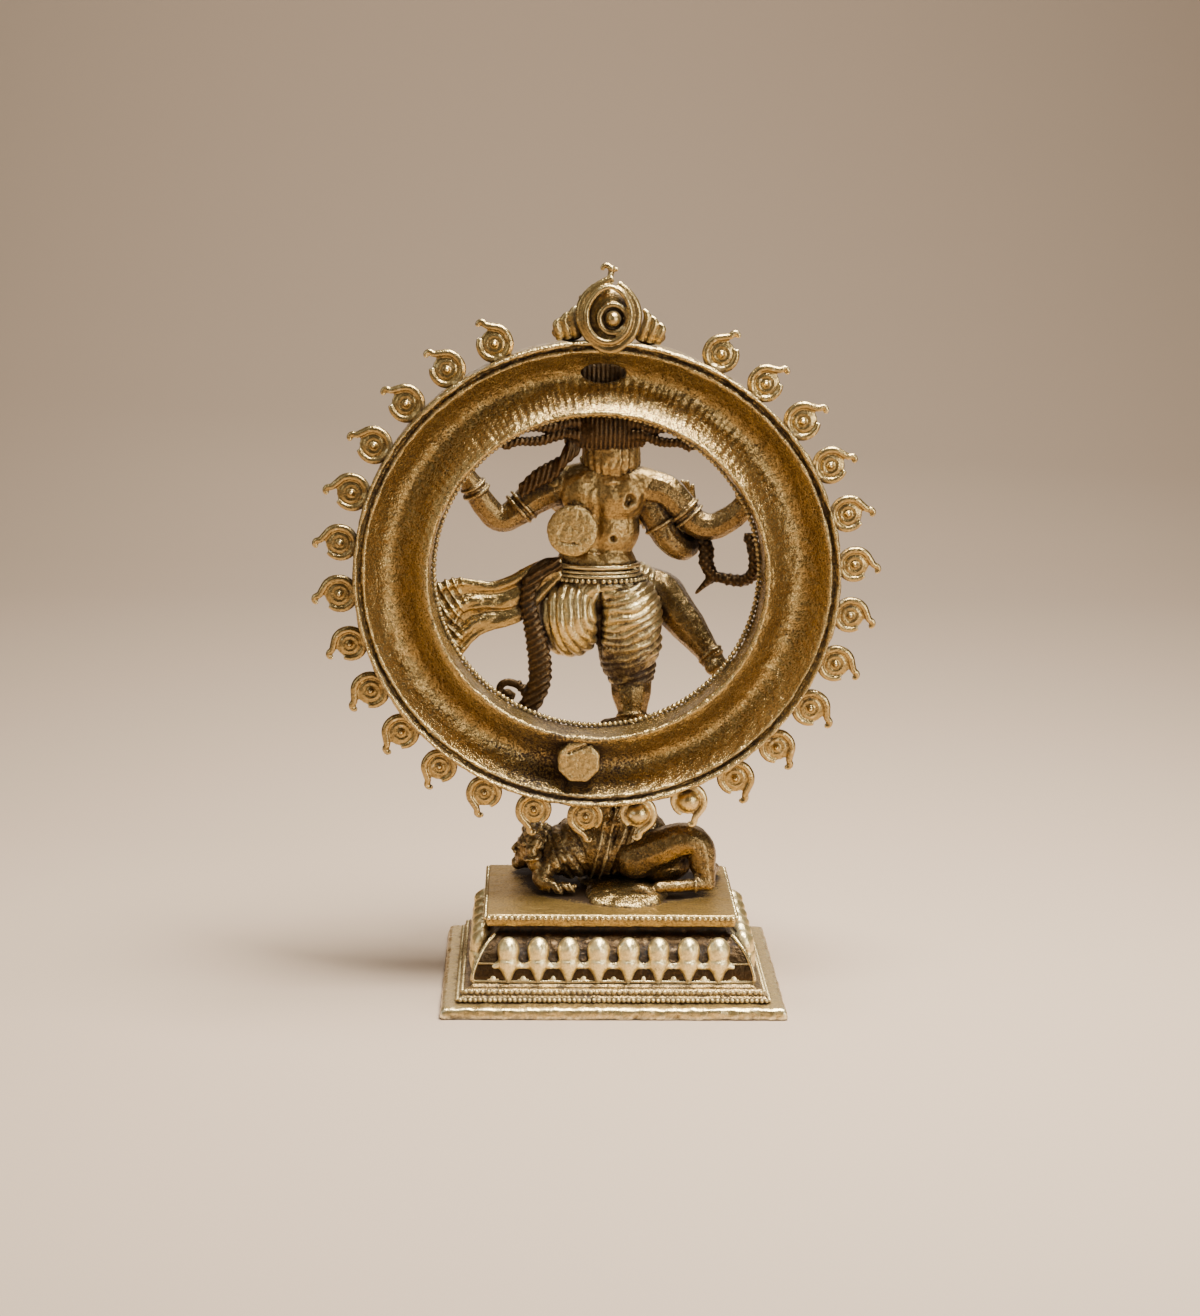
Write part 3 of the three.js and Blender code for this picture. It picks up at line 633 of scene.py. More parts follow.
def makeCrest():
    y = crest["y"]
    top = crest["rise"]

    def up(deep, points):
        return [(x, deep, z + top, thick) for x, z, thick in points]

    outer = up(y, [(-1.2, 6.6, 0.7), (-3.6, 4.6, 0.8), (-5.3, 1.6, 0.85), (-5, -2.4, 0.85), (-2.8, -5.4, 0.85),
                   (-0.4, -6.6, 0.85), (2.6, -5.6, 0.85), (5.2, -2.6, 0.9), (6, 0.8, 0.9), (5, 3.8, 0.85),
                   (2.6, 6, 0.8), (-0.2, 7.6, 0.75)])
    second = up(y + 0.8, [(-1, 5.4, 0.55), (-3.4, 2.8, 0.6), (-3.9, -0.8, 0.65), (-2.2, -4, 0.65), (0.6, -5, 0.65),
                          (3.4, -3.6, 0.65), (4.7, -0.2, 0.65), (3.8, 3.2, 0.6), (1.2, 5.6, 0.55)])
    roundel = melted([
        ball((0.5, y - 2.5, top - 0.1), (5.6, 2.4, 5.9), sides=32),
        strand(outer), strand(second, closed=True),
        hoop((-0.6, y + 0.3, top - 0.4), 2.75, 0.6, (90, 0, 0), 32),
        ball((-0.6, y + 0.3, top - 0.4), (1.6, 2, 1.6)),
        ball((0.2, y - 2.6, top - 4.6), (4.6, 3, 2.2)),
        hoop((0.4, y - 3.8, top), 4.5, 0.8, (90, 0, 0), 36), hoop((0.4, y - 4.5, top), 2.6, 0.62, (90, 0, 0), 32),
        ball((0.4, y - 4.3, top), (1.3, 1.6, 1.3)),
        *[ball((0.4 + 6 * cos(k * 0.5236), y - 3.2, top + 6.2 * sin(k * 0.5236)), (0.8, 0.8, 0.8), sides=10)
          for k in range(12)],
    ], "crestRoundel", 0.22, 2)
    knob = up(y - 0.6, [(0.3, 6.6, 0.9)]) + up(y - 0.8, [(0.3, 7.9, 0.62)])
    knob += up(y - 1.2, [(0.2, 9, 0.62), (0.9, 9.8, 0.62), (1.8, 9.6, 0.5), (1.9, 8.8, 0.4)])
    other = up(y - 1.2, [(0.2, 8.6, 0.6), (-0.6, 9.2, 0.5), (-1.2, 9, 0.42)])
    finial = melted([strand(knob), strand(other), ball((0.2, y - 1, top + 9.3), (0.8, 0.8, 0.7), sides=10)],
                    "crestFinial", 0.2, 2)
    place = aboutStatue(ringPlace)
    roundel.data.transform(place)
    finial.data.transform(place)
    finished(roundel, firedBrass, "crest_roundel")
    finished(finial, firedBrass, "crest_finial")
    for side, node in ((1, "crest_ear_left"), (-1, "crest_ear_right")):
        lobes = []
        for k in range(3):
            foot = side * (6.4 + 1.6 * k)
            lobes.append(strand([(foot, 6.6, top - 4.6 - k * 0.3, 0.8),
                                 (foot + side * 0.5, 7, top - 2.4 - k * 0.5, 0.92),
                                 (foot + side * 0.9, 7.2, top + 0.6 - k * 1.3, 0.75),
                                 (foot + side * 0.1, 7.2, top + 1.6 - k * 1.3, 0.42)]))
        lobes.append(ball((side * 8.2, 6, top - 3.8), (3.2, 1.2, 1.7)))
        ear = melted(lobes, f"crestEar{'Left' if side > 0 else 'Right'}", 0.22, 2)
        ear.data.transform(place)
        finished(ear, firedBrass, node)


pegShape = {"place": (7.3, 5.5, 49), "sides": 8, "radius": 0.0046, "length": 0.0084}


def makePeg():
    bpy.ops.mesh.primitive_cylinder_add(vertices=pegShape["sides"], radius=pegShape["radius"],
                                        depth=pegShape["length"],
                                        location=spot(*pegShape["place"]), rotation=(pi / 2, pi / 8, 0))
    peg = bpy.context.object
    peg.name = "ringPeg"
    settle()
    setMode("EDIT", "SELECT")
    bpy.ops.mesh.bevel(offset=0.0006, segments=3, affect="EDGES")
    setMode("OBJECT")
    applied(peg, "REMESH", mode="VOXEL", voxel_size=0.00022)
    smooth()
    roughCast(peg, (1.4, 0.3))
    tooled(peg, -0.5,
           lambda x, y, z: 1 if y > 8 and abs((z - 51.3) + (x - 8.5) * 0.45) < 0.35 and 4.6 < x < 9.6 else 0)
    finished(peg, filedBrass, "ring_peg")


makeFireRing()
makeRingBeads()
makeFlames()
makeCrest()
makePeg()
print("ring of fire made")

# Pedestal
pedestal = {"width": 70, "depth": 55, "slope": [(28.4, 5.7), (28.6, 6.6), (28.3, 8.2), (27.7, 9.9), (26.8, 11.6),
                                                (25.6, 13.2), (24.2, 14.6), (23.1, 15), (23.1, 16.4)],
            "slabShift": 0.5, "petalLean": 17,
            "petalRows": ((0, 50.4, 20.8, 8), (180, 50.4, 20.8, 8), (90, 35, 28.3, 6),
                          (270, 35, 28.3, 6))}  # turn, run, half, count
sideGap = (pedestal["width"] - pedestal["depth"]) / 2  # the tiers step in evenly, so it is the same for all


# A tier is a box drawn up ring by ring, each ring (half width, z), then hollowed from below.
def makeTier(name, rings, hollow, shiftX=0):
    bpy.ops.mesh.primitive_plane_add(size=0.002, location=(0, 0, 0))
    piece = bpy.context.object
    piece.name = name

    def sizeTop(half, z):
        top = [v for v in piece.data.vertices if v.select]
        for vertex in top:
            vertex.co = spot(copysign(half, vertex.co.x - (statueX if len(piece.data.vertices) > 4 else 0)) + shiftX,
                             copysign(half - sideGap, vertex.co.y), z)

    for vertex in piece.data.vertices:
        vertex.select = True
    sizeTop(*rings[0])
    for half, z in rings[1:]:
        setMode("EDIT")
        bpy.ops.mesh.extrude_region_move()
        setMode("OBJECT")
        sizeTop(half, z)
    setMode("EDIT", "SELECT")
    bpy.ops.mesh.normals_make_consistent(inside=False)
    setMode("OBJECT")
    bpy.ops.mesh.primitive_cube_add(size=1, location=spot(0, 0, (hollow[1] + hollow[2]) / 2),
                                    scale=(hollow[0] / 500, (hollow[0] - sideGap) / 500,
                                           (hollow[2] - hollow[1]) / 1000))
    core = bpy.context.object
    applied(piece, "BOOLEAN", operation="DIFFERENCE", object=core, solver="EXACT")
    drop(core)
    return piece


def softened(piece, width, grid):
    applied(piece, "BEVEL", width=width / 1000, segments=3, limit_method="ANGLE")
    applied(piece, "REMESH", mode="VOXEL", voxel_size=grid / 1000)
    applied(piece, "SMOOTH", factor=0.5, iterations=2)
    selectOnly(piece)
    smooth()


# Pearls set side by side round a tier, at its half width and height.
def pearlBand(half, z, radius, pitch, shiftX=0, proud=0):
    pearl = pearlOf(radius * 1.02, radius, radius)
    row = []
    deep = half - sideGap
    for long, across, alongX in ((half, deep, True), (deep, half, False)):
        count = int(2 * long / pitch)
        for side in (-1, 1):
            for i in range(count):
                run = -long + (i + 0.5) * 2 * long / count
                x, y = (run, side * (across + proud)) if alongX else (side * (across + proud), run)
                row.append(twinOf(pearl, "pearl", shiftBy(x + shiftX, y, z)))
    drop(pearl)
    return row


def makePetalModel():
    return melted([
        ball((0, 0.1, 12.2), (2.35, 2, 2.9)),
        ball((0, 0, 9.8), (2.2, 1.7, 2.4)),
        strand([(0, 0, 10, 2), (0, -0.1, 8.4, 1.6), (0, -0.2, 7, 1.05), (0, -0.3, 5.7, 0.4)]),
        ball((2.2, -0.2, 9.3), (1.4, 0.9, 0.8), (0, 20, 0), 12),
        ball((-2.2, -0.2, 9.3), (1.4, 0.9, 0.8), (0, -20, 0), 12),
        ball((0, 0.7, 12.6), (1.3, 1.7, 1.8), sides=12),
    ], "petalModel", 0.3, 1)


def makePetals():
    tall = makePetalModel()
    low = melted([hoop((0, 0, 7.2), 1.35, 0.32, (90, 0, 0), 20), ball((0, 0, 7.2), (1.3, 0.35, 1.5)),
                  ball((0, 0.1, 6.6), (0.5, 0.5, 0.7), sides=12)], "lowPetalModel", 0.27, 1)
    row = []
    for turn, length, half, count in pedestal["petalRows"]:
        pitch = length / (count + 0.25)
        face = Matrix.Rotation(radians(turn), 4, "Z")
        lean = shiftBy(0, half + 0.45, 0) @ Matrix.Translation((0, 0, 0.006))
        lean = lean @ Matrix.Rotation(radians(pedestal["petalLean"]), 4, "X") @ Matrix.Translation((0, 0, -0.006))
        for i in range(count):
            run = (i - (count - 1) / 2) * pitch
            size = random.uniform(0.97, 1.03)
            row.append(twinOf(tall, "petal", aboutStatue(face @ shiftBy(run, 0, 0) @ lean @ scaleMatrix(size, 1, 1))))
        for i in range(count + 1):
            run = (i - count / 2) * pitch
            row.append(twinOf(low, "lowPetal", aboutStatue(face @ shiftBy(run, -0.35, 0) @ lean)))
    drop(tall, low)
    return finished(joined(row, "lotusPetals"), petalBrass)


def makePedestal():
    plinth = makeTier("pedestalPlinth", [(35, 0), (35, 0.6), (34.8, 1.9), (34.3, 2.4)], (27.8, -1, 3))
    softened(plinth, 0.35, 0.4)
    roughCast(plinth, (0.9, 0.25), (2.4, 0.45))
    finished(plinth, rubbedAndGlintBrass, "pedestal_plinth")
    step = makeTier("beadStep", [(31.4, 2.5), (31.4, 3.5), (30.7, 3.7), (30.9, 4.2), (30.2, 5), (28.9, 5.1),
                                 (28.9, 5.6)], (25.8, 2, 6))
    softened(step, 0.12, 0.3)
    band = pearlBand(31.5, 3.05, 0.44, 1, proud=0.12) + pearlBand(30.5, 4.45, 0.5, 1.14, proud=0.12)
    finished(step, dullBrass, "pedestal_bead_step")
    finished(joined(band, "pearlBands"), limbBrass)
    cushion = makeTier("lotusCushion", pedestal["slope"], (19.2, 5, 17))
    softened(cushion, 0.2, 0.32)
    roughCast(cushion, (2, 0.3))
    finished(cushion, darkBrass, "pedestal_lotus_cushion")
    ribs = []
    for sx in (-1, 1):
        for sy in (-1, 1):
            ribs.append(strand([(sx * (half + 0.05), sy * (half - sideGap + 0.05), z, 0.4) for half,
                                z in pedestal["slope"][:7]]))
    sill = [(28.5, 5.95, 0.3), (27.9, 9.55, 0.2)]
    for half, z, thick in sill:
        deep = half - sideGap
        ribs.append(strand([(sx * half, sy * deep, z, thick) for sx,
                            sy in ((-1, -1), (0, -1), (1, -1), (1, 0), (1, 1), (0, 1), (-1, 1), (-1, 0))],
                           closed=True, finer=2))
        # a drawn line bows out between its points, so it is pressed flat to the tier
        for vertex in ribs[-1].data.vertices:
            x, y = (vertex.co.x - statueX) * 1000, vertex.co.y * 1000
            vertex.co.x = statueX + max(-half - thick, min(half + thick, x)) / 1000
            vertex.co.y = max(-deep - thick, min(deep + thick, y)) / 1000
    ribbing = joined(ribs, "cushionRibs")
    smooth()
    finished(ribbing, firedBrass)
    makePetals()
    slab = makeTier("topSlab", [(25, 16.45), (25.3, 16.7), (25.3, 17.3), (25.5, 17.5), (25.5, 18.8), (25.3, 19.05)],
                    (0.5, 10, 12), pedestal["slabShift"])
    softened(slab, 0.12, 0.34)
    roughCast(slab, (3, 0.35))
    finished(slab, dwarfShadowSlabBrass, "pedestal_top_slab")
    edge = pearlBand(25.45, 18.4, 0.52, 1.14, pedestal["slabShift"], 0.12)
    finished(joined(edge, "slabPearls"), firedBrass)


def makeMound():
    piece = melted([
        ball((-3.1, 3, 19), (8.8, 10.4, 2.3)), ball((-7.4, 7.5, 19.2), (3.4, 4, 1.9)),
        ball((1.4, 8.5, 19), (3.6, 3.4, 1.8)),
        ball((-3, -7, 19), (10, 8, 2.4)), ball((-1.5, -2, 16.5), (1.9, 1.9, 3.2)),
    ], "groundMound", 0.4, 3)
    roughCast(piece, (2.6, 0.9))
    finished(piece, castBrass, "ground_mound")


makePedestal()
makeMound()
print("pedestal made")


# Dwarf and the lotus stand on the dwarf's back
dwarf = {"head": (16, -6.2, 26.4), "curls": 46, "bodyGrid": 0.26, "legGrid": 0.3}
lotus = {"x": 1, "y": -8.4, "petals": 12, "grid": 0.32}


def makeDwarf():
    body = melted([
        ball((1, -6, 27.4), (12.6, 7.6, 7.2)), ball((8.6, -5.6, 26), (6.6, 7.2, 6)),
        ball((-4.6, -5.2, 28.2), (8, 7.4, 7.4)),
        ball((-1, -5, 32.4), (6.6, 5.8, 4.4)),
        limb([(11.4, 0.6, 25.6, 2.4), (14.6, 2.6, 22.4, 2.1), (11.6, 4.6, 20.9, 1.5), (8.2, 4.8, 20.8, 1.2)]),
        limb([(10, -11, 24.4, 2.6), (14.5, -14, 22, 2), (19.5, -12.5, 21.2, 1.6)]),
        limb([(14.8, 1.6, 23.4, 1.6), (16.4, 1.9, 25.6, 1.45), (16.8, 1.6, 28, 1.25)]),
        handParts((16.8, 1.6, 27.8), (-0.12, -0.1, 1), (-0.6, -1, 0.1), 24, 0.4, 0.62),
        cuff((16.6, 1.8, 26.4), (0.4, 0, 2.4), 1.6, 0.35, 20),
    ], "dwarfTorso", dwarf["bodyGrid"], 4)

    def cords(x, y, z):
        return sum(max(0, 1 - abs(x - start + (z - 26) * 0.22) / wide) for start, wide in ((3.2, 0.55), (1.4, 0.5)))

    tooled(body, 0.55, cords)
    tooled(body, -0.55,
           lambda x, y, z: max(0, sin((x + z * 0.35) * 2.6)) * (1 if -9 < x < 0.2 and y > -9 and z < 33 else 0))
    tooled(body, -0.5, lambda x, y, z: max(0, sin((x - z * 0.6) * 2.2)) * (1 if 5.5 < x < 13 and y > -8 else 0))
    roughCast(body, (1.1, 0.35), (2.6, 0.4))
    finished(body, dullBrass, "dwarf_torso")
    hx, hy, hz = dwarf["head"]

    def at(x, y, z, *thick):
        return hx + x, hy + y, hz + z, *thick

    parts = [
        ball(at(0, 0, 0), (3.9, 3.7, 4.4)), ball(at(2.2, 0, -2), (1.9, 2.5, 2.1)),
        ball(at(3.3, 0, -3.2), (0.9, 1.2, 0.8), sides=12),
        strand([at(3.4, 0, 1.3, 0.35), at(4.3, 0, 0.2, 0.5), at(4.7, 0, -0.7, 0.62)]),
        ball(at(4.3, -0.7, -0.8), (0.5, 0.5, 0.42), sides=10),
        ball(at(4.3, 0.7, -0.8), (0.5, 0.5, 0.42), sides=10),
        strand([at(3.6, -1.2, -1.9, 0.25), at(4.1, 0, -1.75, 0.36), at(3.6, 1.2, -1.9, 0.25)]),
        strand([at(3.5, -1, -2.4, 0.25), at(4, 0, -2.55, 0.4), at(3.5, 1, -2.4, 0.25)]),
        limb([at(-2.6, 0, -1, 2.6), at(-5.2, 0, -1.2, 3)]),
    ]
    for side in (-1, 1):
        parts += [
            ball(at(3.3, side * 1.5, 0.5), (0.5, 0.75, 0.5), sides=12),
            strand([at(3.6, side * 0.5, 1.2, 0.22), at(3.5, side * 1.5, 1.5, 0.26), at(2.8, side * 2.6, 1.2, 0.2)]),
            hoop(at(-0.4, side * 3.6, -0.4), 0.9, 0.4, (90, 0, 0), 16),
            hoop(at(-0.3, side * 3.7, -2.2), 0.8, 0.35, (0, 0, 0), 16),
        ]
    for k in range(dwarf["curls"]):  # tight curls over the crown of the head
        a, b = k * 2.4, acos(1 - 1.05 * (k + 0.5) / dwarf["curls"])
        ux, uy, uz = sin(b) * cos(a), sin(b) * sin(a), cos(b)
        if ux < 0.72:
            parts.append(ball((hx - 0.5 + 3.9 * ux, hy + 3.8 * uy, hz + 0.9 + 4.1 * uz), (0.8, 0.8, 0.8), sides=8))
    head = melted(parts, "dwarfHead", 0.2, 1)
    finished(head, dullBrass, "dwarf_head")
    near = melted([
        limb([(-5, 0.2, 25.8, 4.4), (-10.8, 1, 28.6, 4.3), (-15.4, 1.6, 30.2, 3.8), (-18, 2, 29, 3.4),
              (-19, 3, 25.2, 2.8), (-19.8, 4, 22.4, 1.9)]),
        limb([(-20.2, 4.4, 21.7, 1.5), (-14.6, 5.8, 21.7, 1.35), (-9.6, 6.9, 21.6, 1.25)]),
        ball((-6.4, 7.6, 21.3), (2.5, 1.5, 1.3), (0, -12, 0)), ball((-10.6, -2.4, 24.4), (6.4, 5, 4.4)),
    ], "dwarfBentLeg", dwarf["legGrid"], 4)
    tooled(near, 0.35, lambda x, y, z: max(0, 1 - abs(x + 17.4) / 0.5) if z < 24 else 0)
    roughCast(near, (2, 0.3))
    finished(near, dullBrass, "dwarf_bent_leg")
    far = melted([
        limb([(-7, -9, 26, 3.8), (-14, -10.4, 25.6, 3.3), (-18.6, -9.2, 23.8, 2.7), (-20.4, -5.6, 22.6, 2.1),
              (-20.8, -4, 22, 1.7)]),
        limb([(-20.6, -4.6, 21.6, 1.6), (-22.2, -8.6, 21.2, 1.3)]), ball((-13.6, -10.6, 26.2), (4.2, 3.2, 3.4)),
        *[limb([(-21.2 - 0.55 * k, -8.4 - 0.3 * k, 21.2, 0.6), (-21.6 - 0.6 * k, -10.4 + 0.2 * k, 20.8, 0.45)])
          for k in range(4)],
    ], "dwarfFlatLeg", dwarf["legGrid"], 4)
    finished(far, dullBrass, "dwarf_flat_leg")


def makeLotusStand():
    outline = [(0, 33.5), (6.4, 33.5), (6.9, 34.6), (6.2, 36.4), (5.6, 38.4), (6.4, 39), (6.4, 39.9), (5.8, 40.4),
               (6, 43.6), (6.8, 46), (8, 48), (8.4, 48.9), (8.1, 49.9), (7.4, 50.1), (0, 50.1)]
    drum = spun(outline, "Z", 48, "lotusStand")
    drum.data.transform(shiftBy(lotus["x"], lotus["y"], 0) @ toStatue)
    parts = [drum]
    for k in range(lotus["petals"]):
        a = k * tau / lotus["petals"]
        lean = lambda r, z, t: (lotus["x"] + r * cos(a), lotus["y"] + r * sin(a), z, t)
        parts.append(strand([lean(5.6, 41.2, 0.9), lean(6.4, 44, 1.4), lean(7.6, 46.6, 1.2), lean(8.1, 48, 0.5)]))
        parts.append(strand([lean(5.3, 38.2, 0.9), lean(6.3, 36.4, 1.3), lean(6.9, 34.6, 0.9)]))
    stand = melted(parts, "lotusStandCast", lotus["grid"], 3)
    finished(stand, dullBrass, "lotus_support")


makeDwarf()
makeLotusStand()
print("dwarf made")


# Dancer
def makeDancerTorso():
    torso = melted([
        ball((1.9, -7.8, 101.6), (9.6, 5.7, 6.6)), ball((2.7, -8.2, 94.6), (8, 5.1, 7.6)),
        ball((3.7, -8.2, 87.8), (8.3, 5.4, 4.4)),
        limb([(12.4, -7.4, 103.6, 3.9), (1.4, -7.4, 104.4, 4.7), (-5.8, -7.4, 103.6, 3.9)]),
        strand([(1, -7.4, 104, 5.4), (1.2, -7.9, 107.6, 3.9), (1.7, -8, 113, 3.4)]),
        ball((8, -7.2, 104.8), (6, 3.8, 2.9)), ball((-4.4, -7.2, 104.8), (5.4, 3.8, 2.9)),
        ball((7.8, -3.9, 102.2), (3.6, 1.6, 4.2)), ball((-2, -3.9, 102.2), (3.6, 1.6, 4.2)),
        ball((6.6, -12.2, 102.2), (4.1, 2, 3.2)), ball((-2.6, -12.2, 102.2), (4.1, 2, 3.2)),
        ball((3.3, -12, 90.6), (5.2, 2, 4.4)),
    ], "dancerTorso", 0.26, 14)

    def spine(x, y, z):
        return exp(-((x - 3.6) / 1.2) ** 2) * max(0, min(1, (z - 88) / 3, (107 - z) / 2)) * (1 if y > -7 else 0)

    tooled(torso, -0.55, spine)
    pit = lambda x, y, z, pitX, pitZ, wide: max(0, 1 - hypot(x - pitX, z - pitZ) / wide) if y > -7 else 0
    tooled(torso, -1.7, lambda x, y, z: pit(x, y, z, -3.1, 101.4, 1.3) + 0.8 * pit(x, y, z, -2.4, 100.3, 0.9))
    tooled(torso, -1.6, lambda x, y, z: pit(x, y, z, 0.4, 93, 0.8))
    tooled(torso, -0.6, lambda x, y, z: max(0, 1 - hypot(x - 3.3, z - 90.2) / 0.7) if y < -12 else 0)
    roughCast(torso, (0.9, 0.22), (2.6, 0.3))
    finished(torso, limbBrass, "dancer_torso")
    locks = [strand([(0.9, -6.4, 106, 3.4), (1, -6.3, 109.6, 4.2), (1.4, -6.4, 113.8, 4.2)], roundness=6)]
    for k in range(11):
        a = radians(8 + k * 16.4)
        turn = lambda r, z, thick: (1 + r * cos(a), -7.6 + r * 0.86 * sin(a), z, thick)
        locks.append(strand([turn(4.9, 106.6, 0.5), turn(5.2, 108, 0.95), turn(5.1, 110.6, 1.05),
                             turn(5, 113.6, 0.9)], roundness=2))
    nape = melted(locks, "napeCurls", 0.2, 2)
    roughCast(nape, (1.2, 0.4))
    finished(nape, limbBrass)


def makeDancerArms():
    left = melted([
        limb([(11.2, -7.4, 103.6, 4), (16.8, -7, 100.9, 3.6), (20.6, -6.6, 97.9, 3.1), (23.7, -6.3, 96.6, 2.8),
              (26.3, -5.8, 98.8, 2.75), (29, -4.8, 103, 2.5), (31.2, -3.8, 106.8, 1.9)]),
        handParts((31.2, -3.8, 106.6), (0.35, 0.1, 1), (-0.4, -1, 0.2), 26, 0.6, 0.72),
        cuff((19.9, -6.7, 98.6), (3.2, 0.4, -3), 3.45, 0.42), cuff((18.9, -6.8, 99.5), (3.2, 0.4, -3), 3.6, 0.34),
        cuff((28.6, -5, 102.4), (2.5, 1, 4.6), 2.75, 0.42), cuff((29.3, -4.7, 103.7), (2.5, 1, 4.6), 2.6, 0.34),
    ], "rearLeftArm", 0.2, 3)
    right = melted([
        limb([(-5.6, -7.4, 103.6, 3.9), (-10, -7.2, 102.6, 3.7), (-13.4, -7, 99.6, 3.3), (-16.2, -6.8, 96.4, 3),
              (-19.4, -6.6, 95.3, 2.9), (-23.2, -6, 96.8, 2.8), (-26.8, -5, 100.2, 2.5), (-30, -4, 104.8, 1.9)]),
        handParts((-30, -4, 104.8), (-0.35, 0.1, 1), (0.5, -1, 0.1), 40, 0.5, 0.7, -1),
        cuff((-14.3, -6.9, 98.6), (-2.8, 0.2, -3.2), 3.4, 0.42),
        cuff((-15.3, -6.8, 97.4), (-2.8, 0.2, -3.2), 3.35, 0.34),
        cuff((-27, -4.9, 100.6), (-3, 1, 4), 2.65, 0.4),
    ], "rearRightArm", 0.2, 3)
    palm = melted([
        limb([(-6.4, -8.6, 101.4, 3.6), (-9, -7.8, 96.4, 3.3), (-11.6, -7.4, 92.2, 2.9), (-14.8, -9.2, 90.4, 2.6),
              (-15.8, -12.4, 93.2, 2.4), (-15.4, -14.6, 97.6, 1.95)]),
        handParts((-15.3, -14.8, 97.4), (0.08, -0.12, 1), (0, -1, 0), -4, 0.3, 0.98, -1),
        cuff((-9.6, -7.7, 95.5), (-2.6, 0.4, -4.2), 3.45, 0.4),
        cuff((-15.6, -13.6, 95.4), (0.3, -2.2, 4.4), 2.35, 0.4),
    ], "frontRightArm", 0.2, 3)
    across = melted([
        limb([(11.4, -9.6, 102.4, 3.7), (9.8, -13.6, 99.6, 3.3), (5.4, -16.6, 97.4, 2.8), (-1, -18.2, 96.6, 2.6),
              (-8.2, -18.6, 95.2, 2.2), (-11.4, -18.6, 93.2, 1.8)]),
        handParts((-11.2, -18.6, 93.4), (-0.45, 0, -1), (0.6, 0.9, -0.2), 12, 0.3, 0.84),
        cuff((10.2, -12.6, 100.5), (-2, -4, -2.6), 3.55, 0.4), cuff((-7, -18.5, 95.6), (-7, -0.4, -1.6), 2.55, 0.38),
        cuff((-8.2, -18.6, 95.2), (-7, -0.4, -2), 2.4, 0.34),
    ], "frontLeftArm", 0.2, 3)
    for arm, node in ((left, "dancer_rear_left_arm"), (right, "dancer_rear_right_arm"),
                      (palm, "dancer_front_right_arm"), (across, "dancer_front_left_arm")):
        roughCast(arm, (1.5, 0.16))
        finished(arm, dullBrass, node)


def makeDancerLegs():
    standing = melted([
        limb([(-3, -8.2, 69, 5.6), (-3.4, -9.6, 65.4, 5), (-3.9, -9.8, 62.2, 4.6), (-4, -8.4, 59, 4.3),
              (-4.2, -7.2, 55.8, 3.2), (-4.2, -6.8, 53.2, 2.5)]),
        limb([(-4.2, -6.2, 52.6, 2.2), (-1.8, -8, 52.5, 2.1), (1, -10.4, 51.8, 1.7)]),
        *[limb([(0.6 + 0.55 * k, -11.6 + k, 51.6, 0.85), (2.5 + 0.45 * k, -12.8 + 1.1 * k, 51.2, 0.72)])
          for k in range(4)],
        cuff((-4.2, -7, 54.8), (0, 0.4, -1), 3.05, 0.45), cuff((-4.2, -7, 53.9), (0, 0.4, -1), 2.9, 0.35),
        *[ball((-4.2 + 3.2 * cos(k * tau / 12), -7 + 3.2 * sin(k * tau / 12), 53.9), (0.6, 0.6, 0.6), sides=8)
          for k in range(12)],
    ], "standingLeg", 0.22, 3)
    raised = melted([
        limb([(8, -9.6, 78.6, 5.6), (2, -13, 80.4, 5.2), (-6, -15.2, 80.8, 4.6), (-10.6, -15.2, 79.8, 4.4),
              (-12.2, -13.4, 77.6, 4.4), (-15.6, -11.6, 73.6, 3.9), (-19.2, -9.6, 69.2, 2.8),
              (-21.6, -8.2, 66.4, 2.1)]),
        limb([(-21, -6.6, 65.6, 1.9), (-24, -9, 64.8, 1.9), (-27, -11, 64, 1.5)]),
        *[limb([(-26.6 + 0.3 * k, -12.4 + 0.95 * k, 63.8 + 0.1 * k, 0.75),
                (-28.8 + 0.4 * k, -13.4 + k, 63.2 + 0.1 * k, 0.6)]) for k in range(4)],
        cuff((-20.4, -8.9, 67.8), (-2.4, 1.4, -2.8), 2.65, 0.42), cuff((-21, -8.6, 67), (-2.4, 1.4, -2.8), 2.5, 0.34),
    ], "raisedLeg", 0.28, 3)
    for leg, node in ((standing, "dancer_standing_leg"), (raised, "dancer_raised_leg")):
        roughCast(leg, (1.6, 0.22))
        finished(leg, dullBrass, node)


# An oval belt of the given half width and half depth round the hips.
def belt(z, wide, deep, thick, x=3.6, y=-7.8):
    made = hoop((0, 0, 0), 10, thick, steps=48)
    for vertex in made.data.vertices:
        reach = hypot(vertex.co.x, vertex.co.y) * 1000
        over = reach - 10
        vertex.co.x *= (wide + over) / reach
        vertex.co.y *= (deep + over) / reach
    made.location = spot(x, y, z)
    return made


loincloth = {"grid": 0.22, "leftPitch": 1.7, "rightPitch": 1.75, "thighPitch": 1.8, "pearls": 46, "tassels": 11}


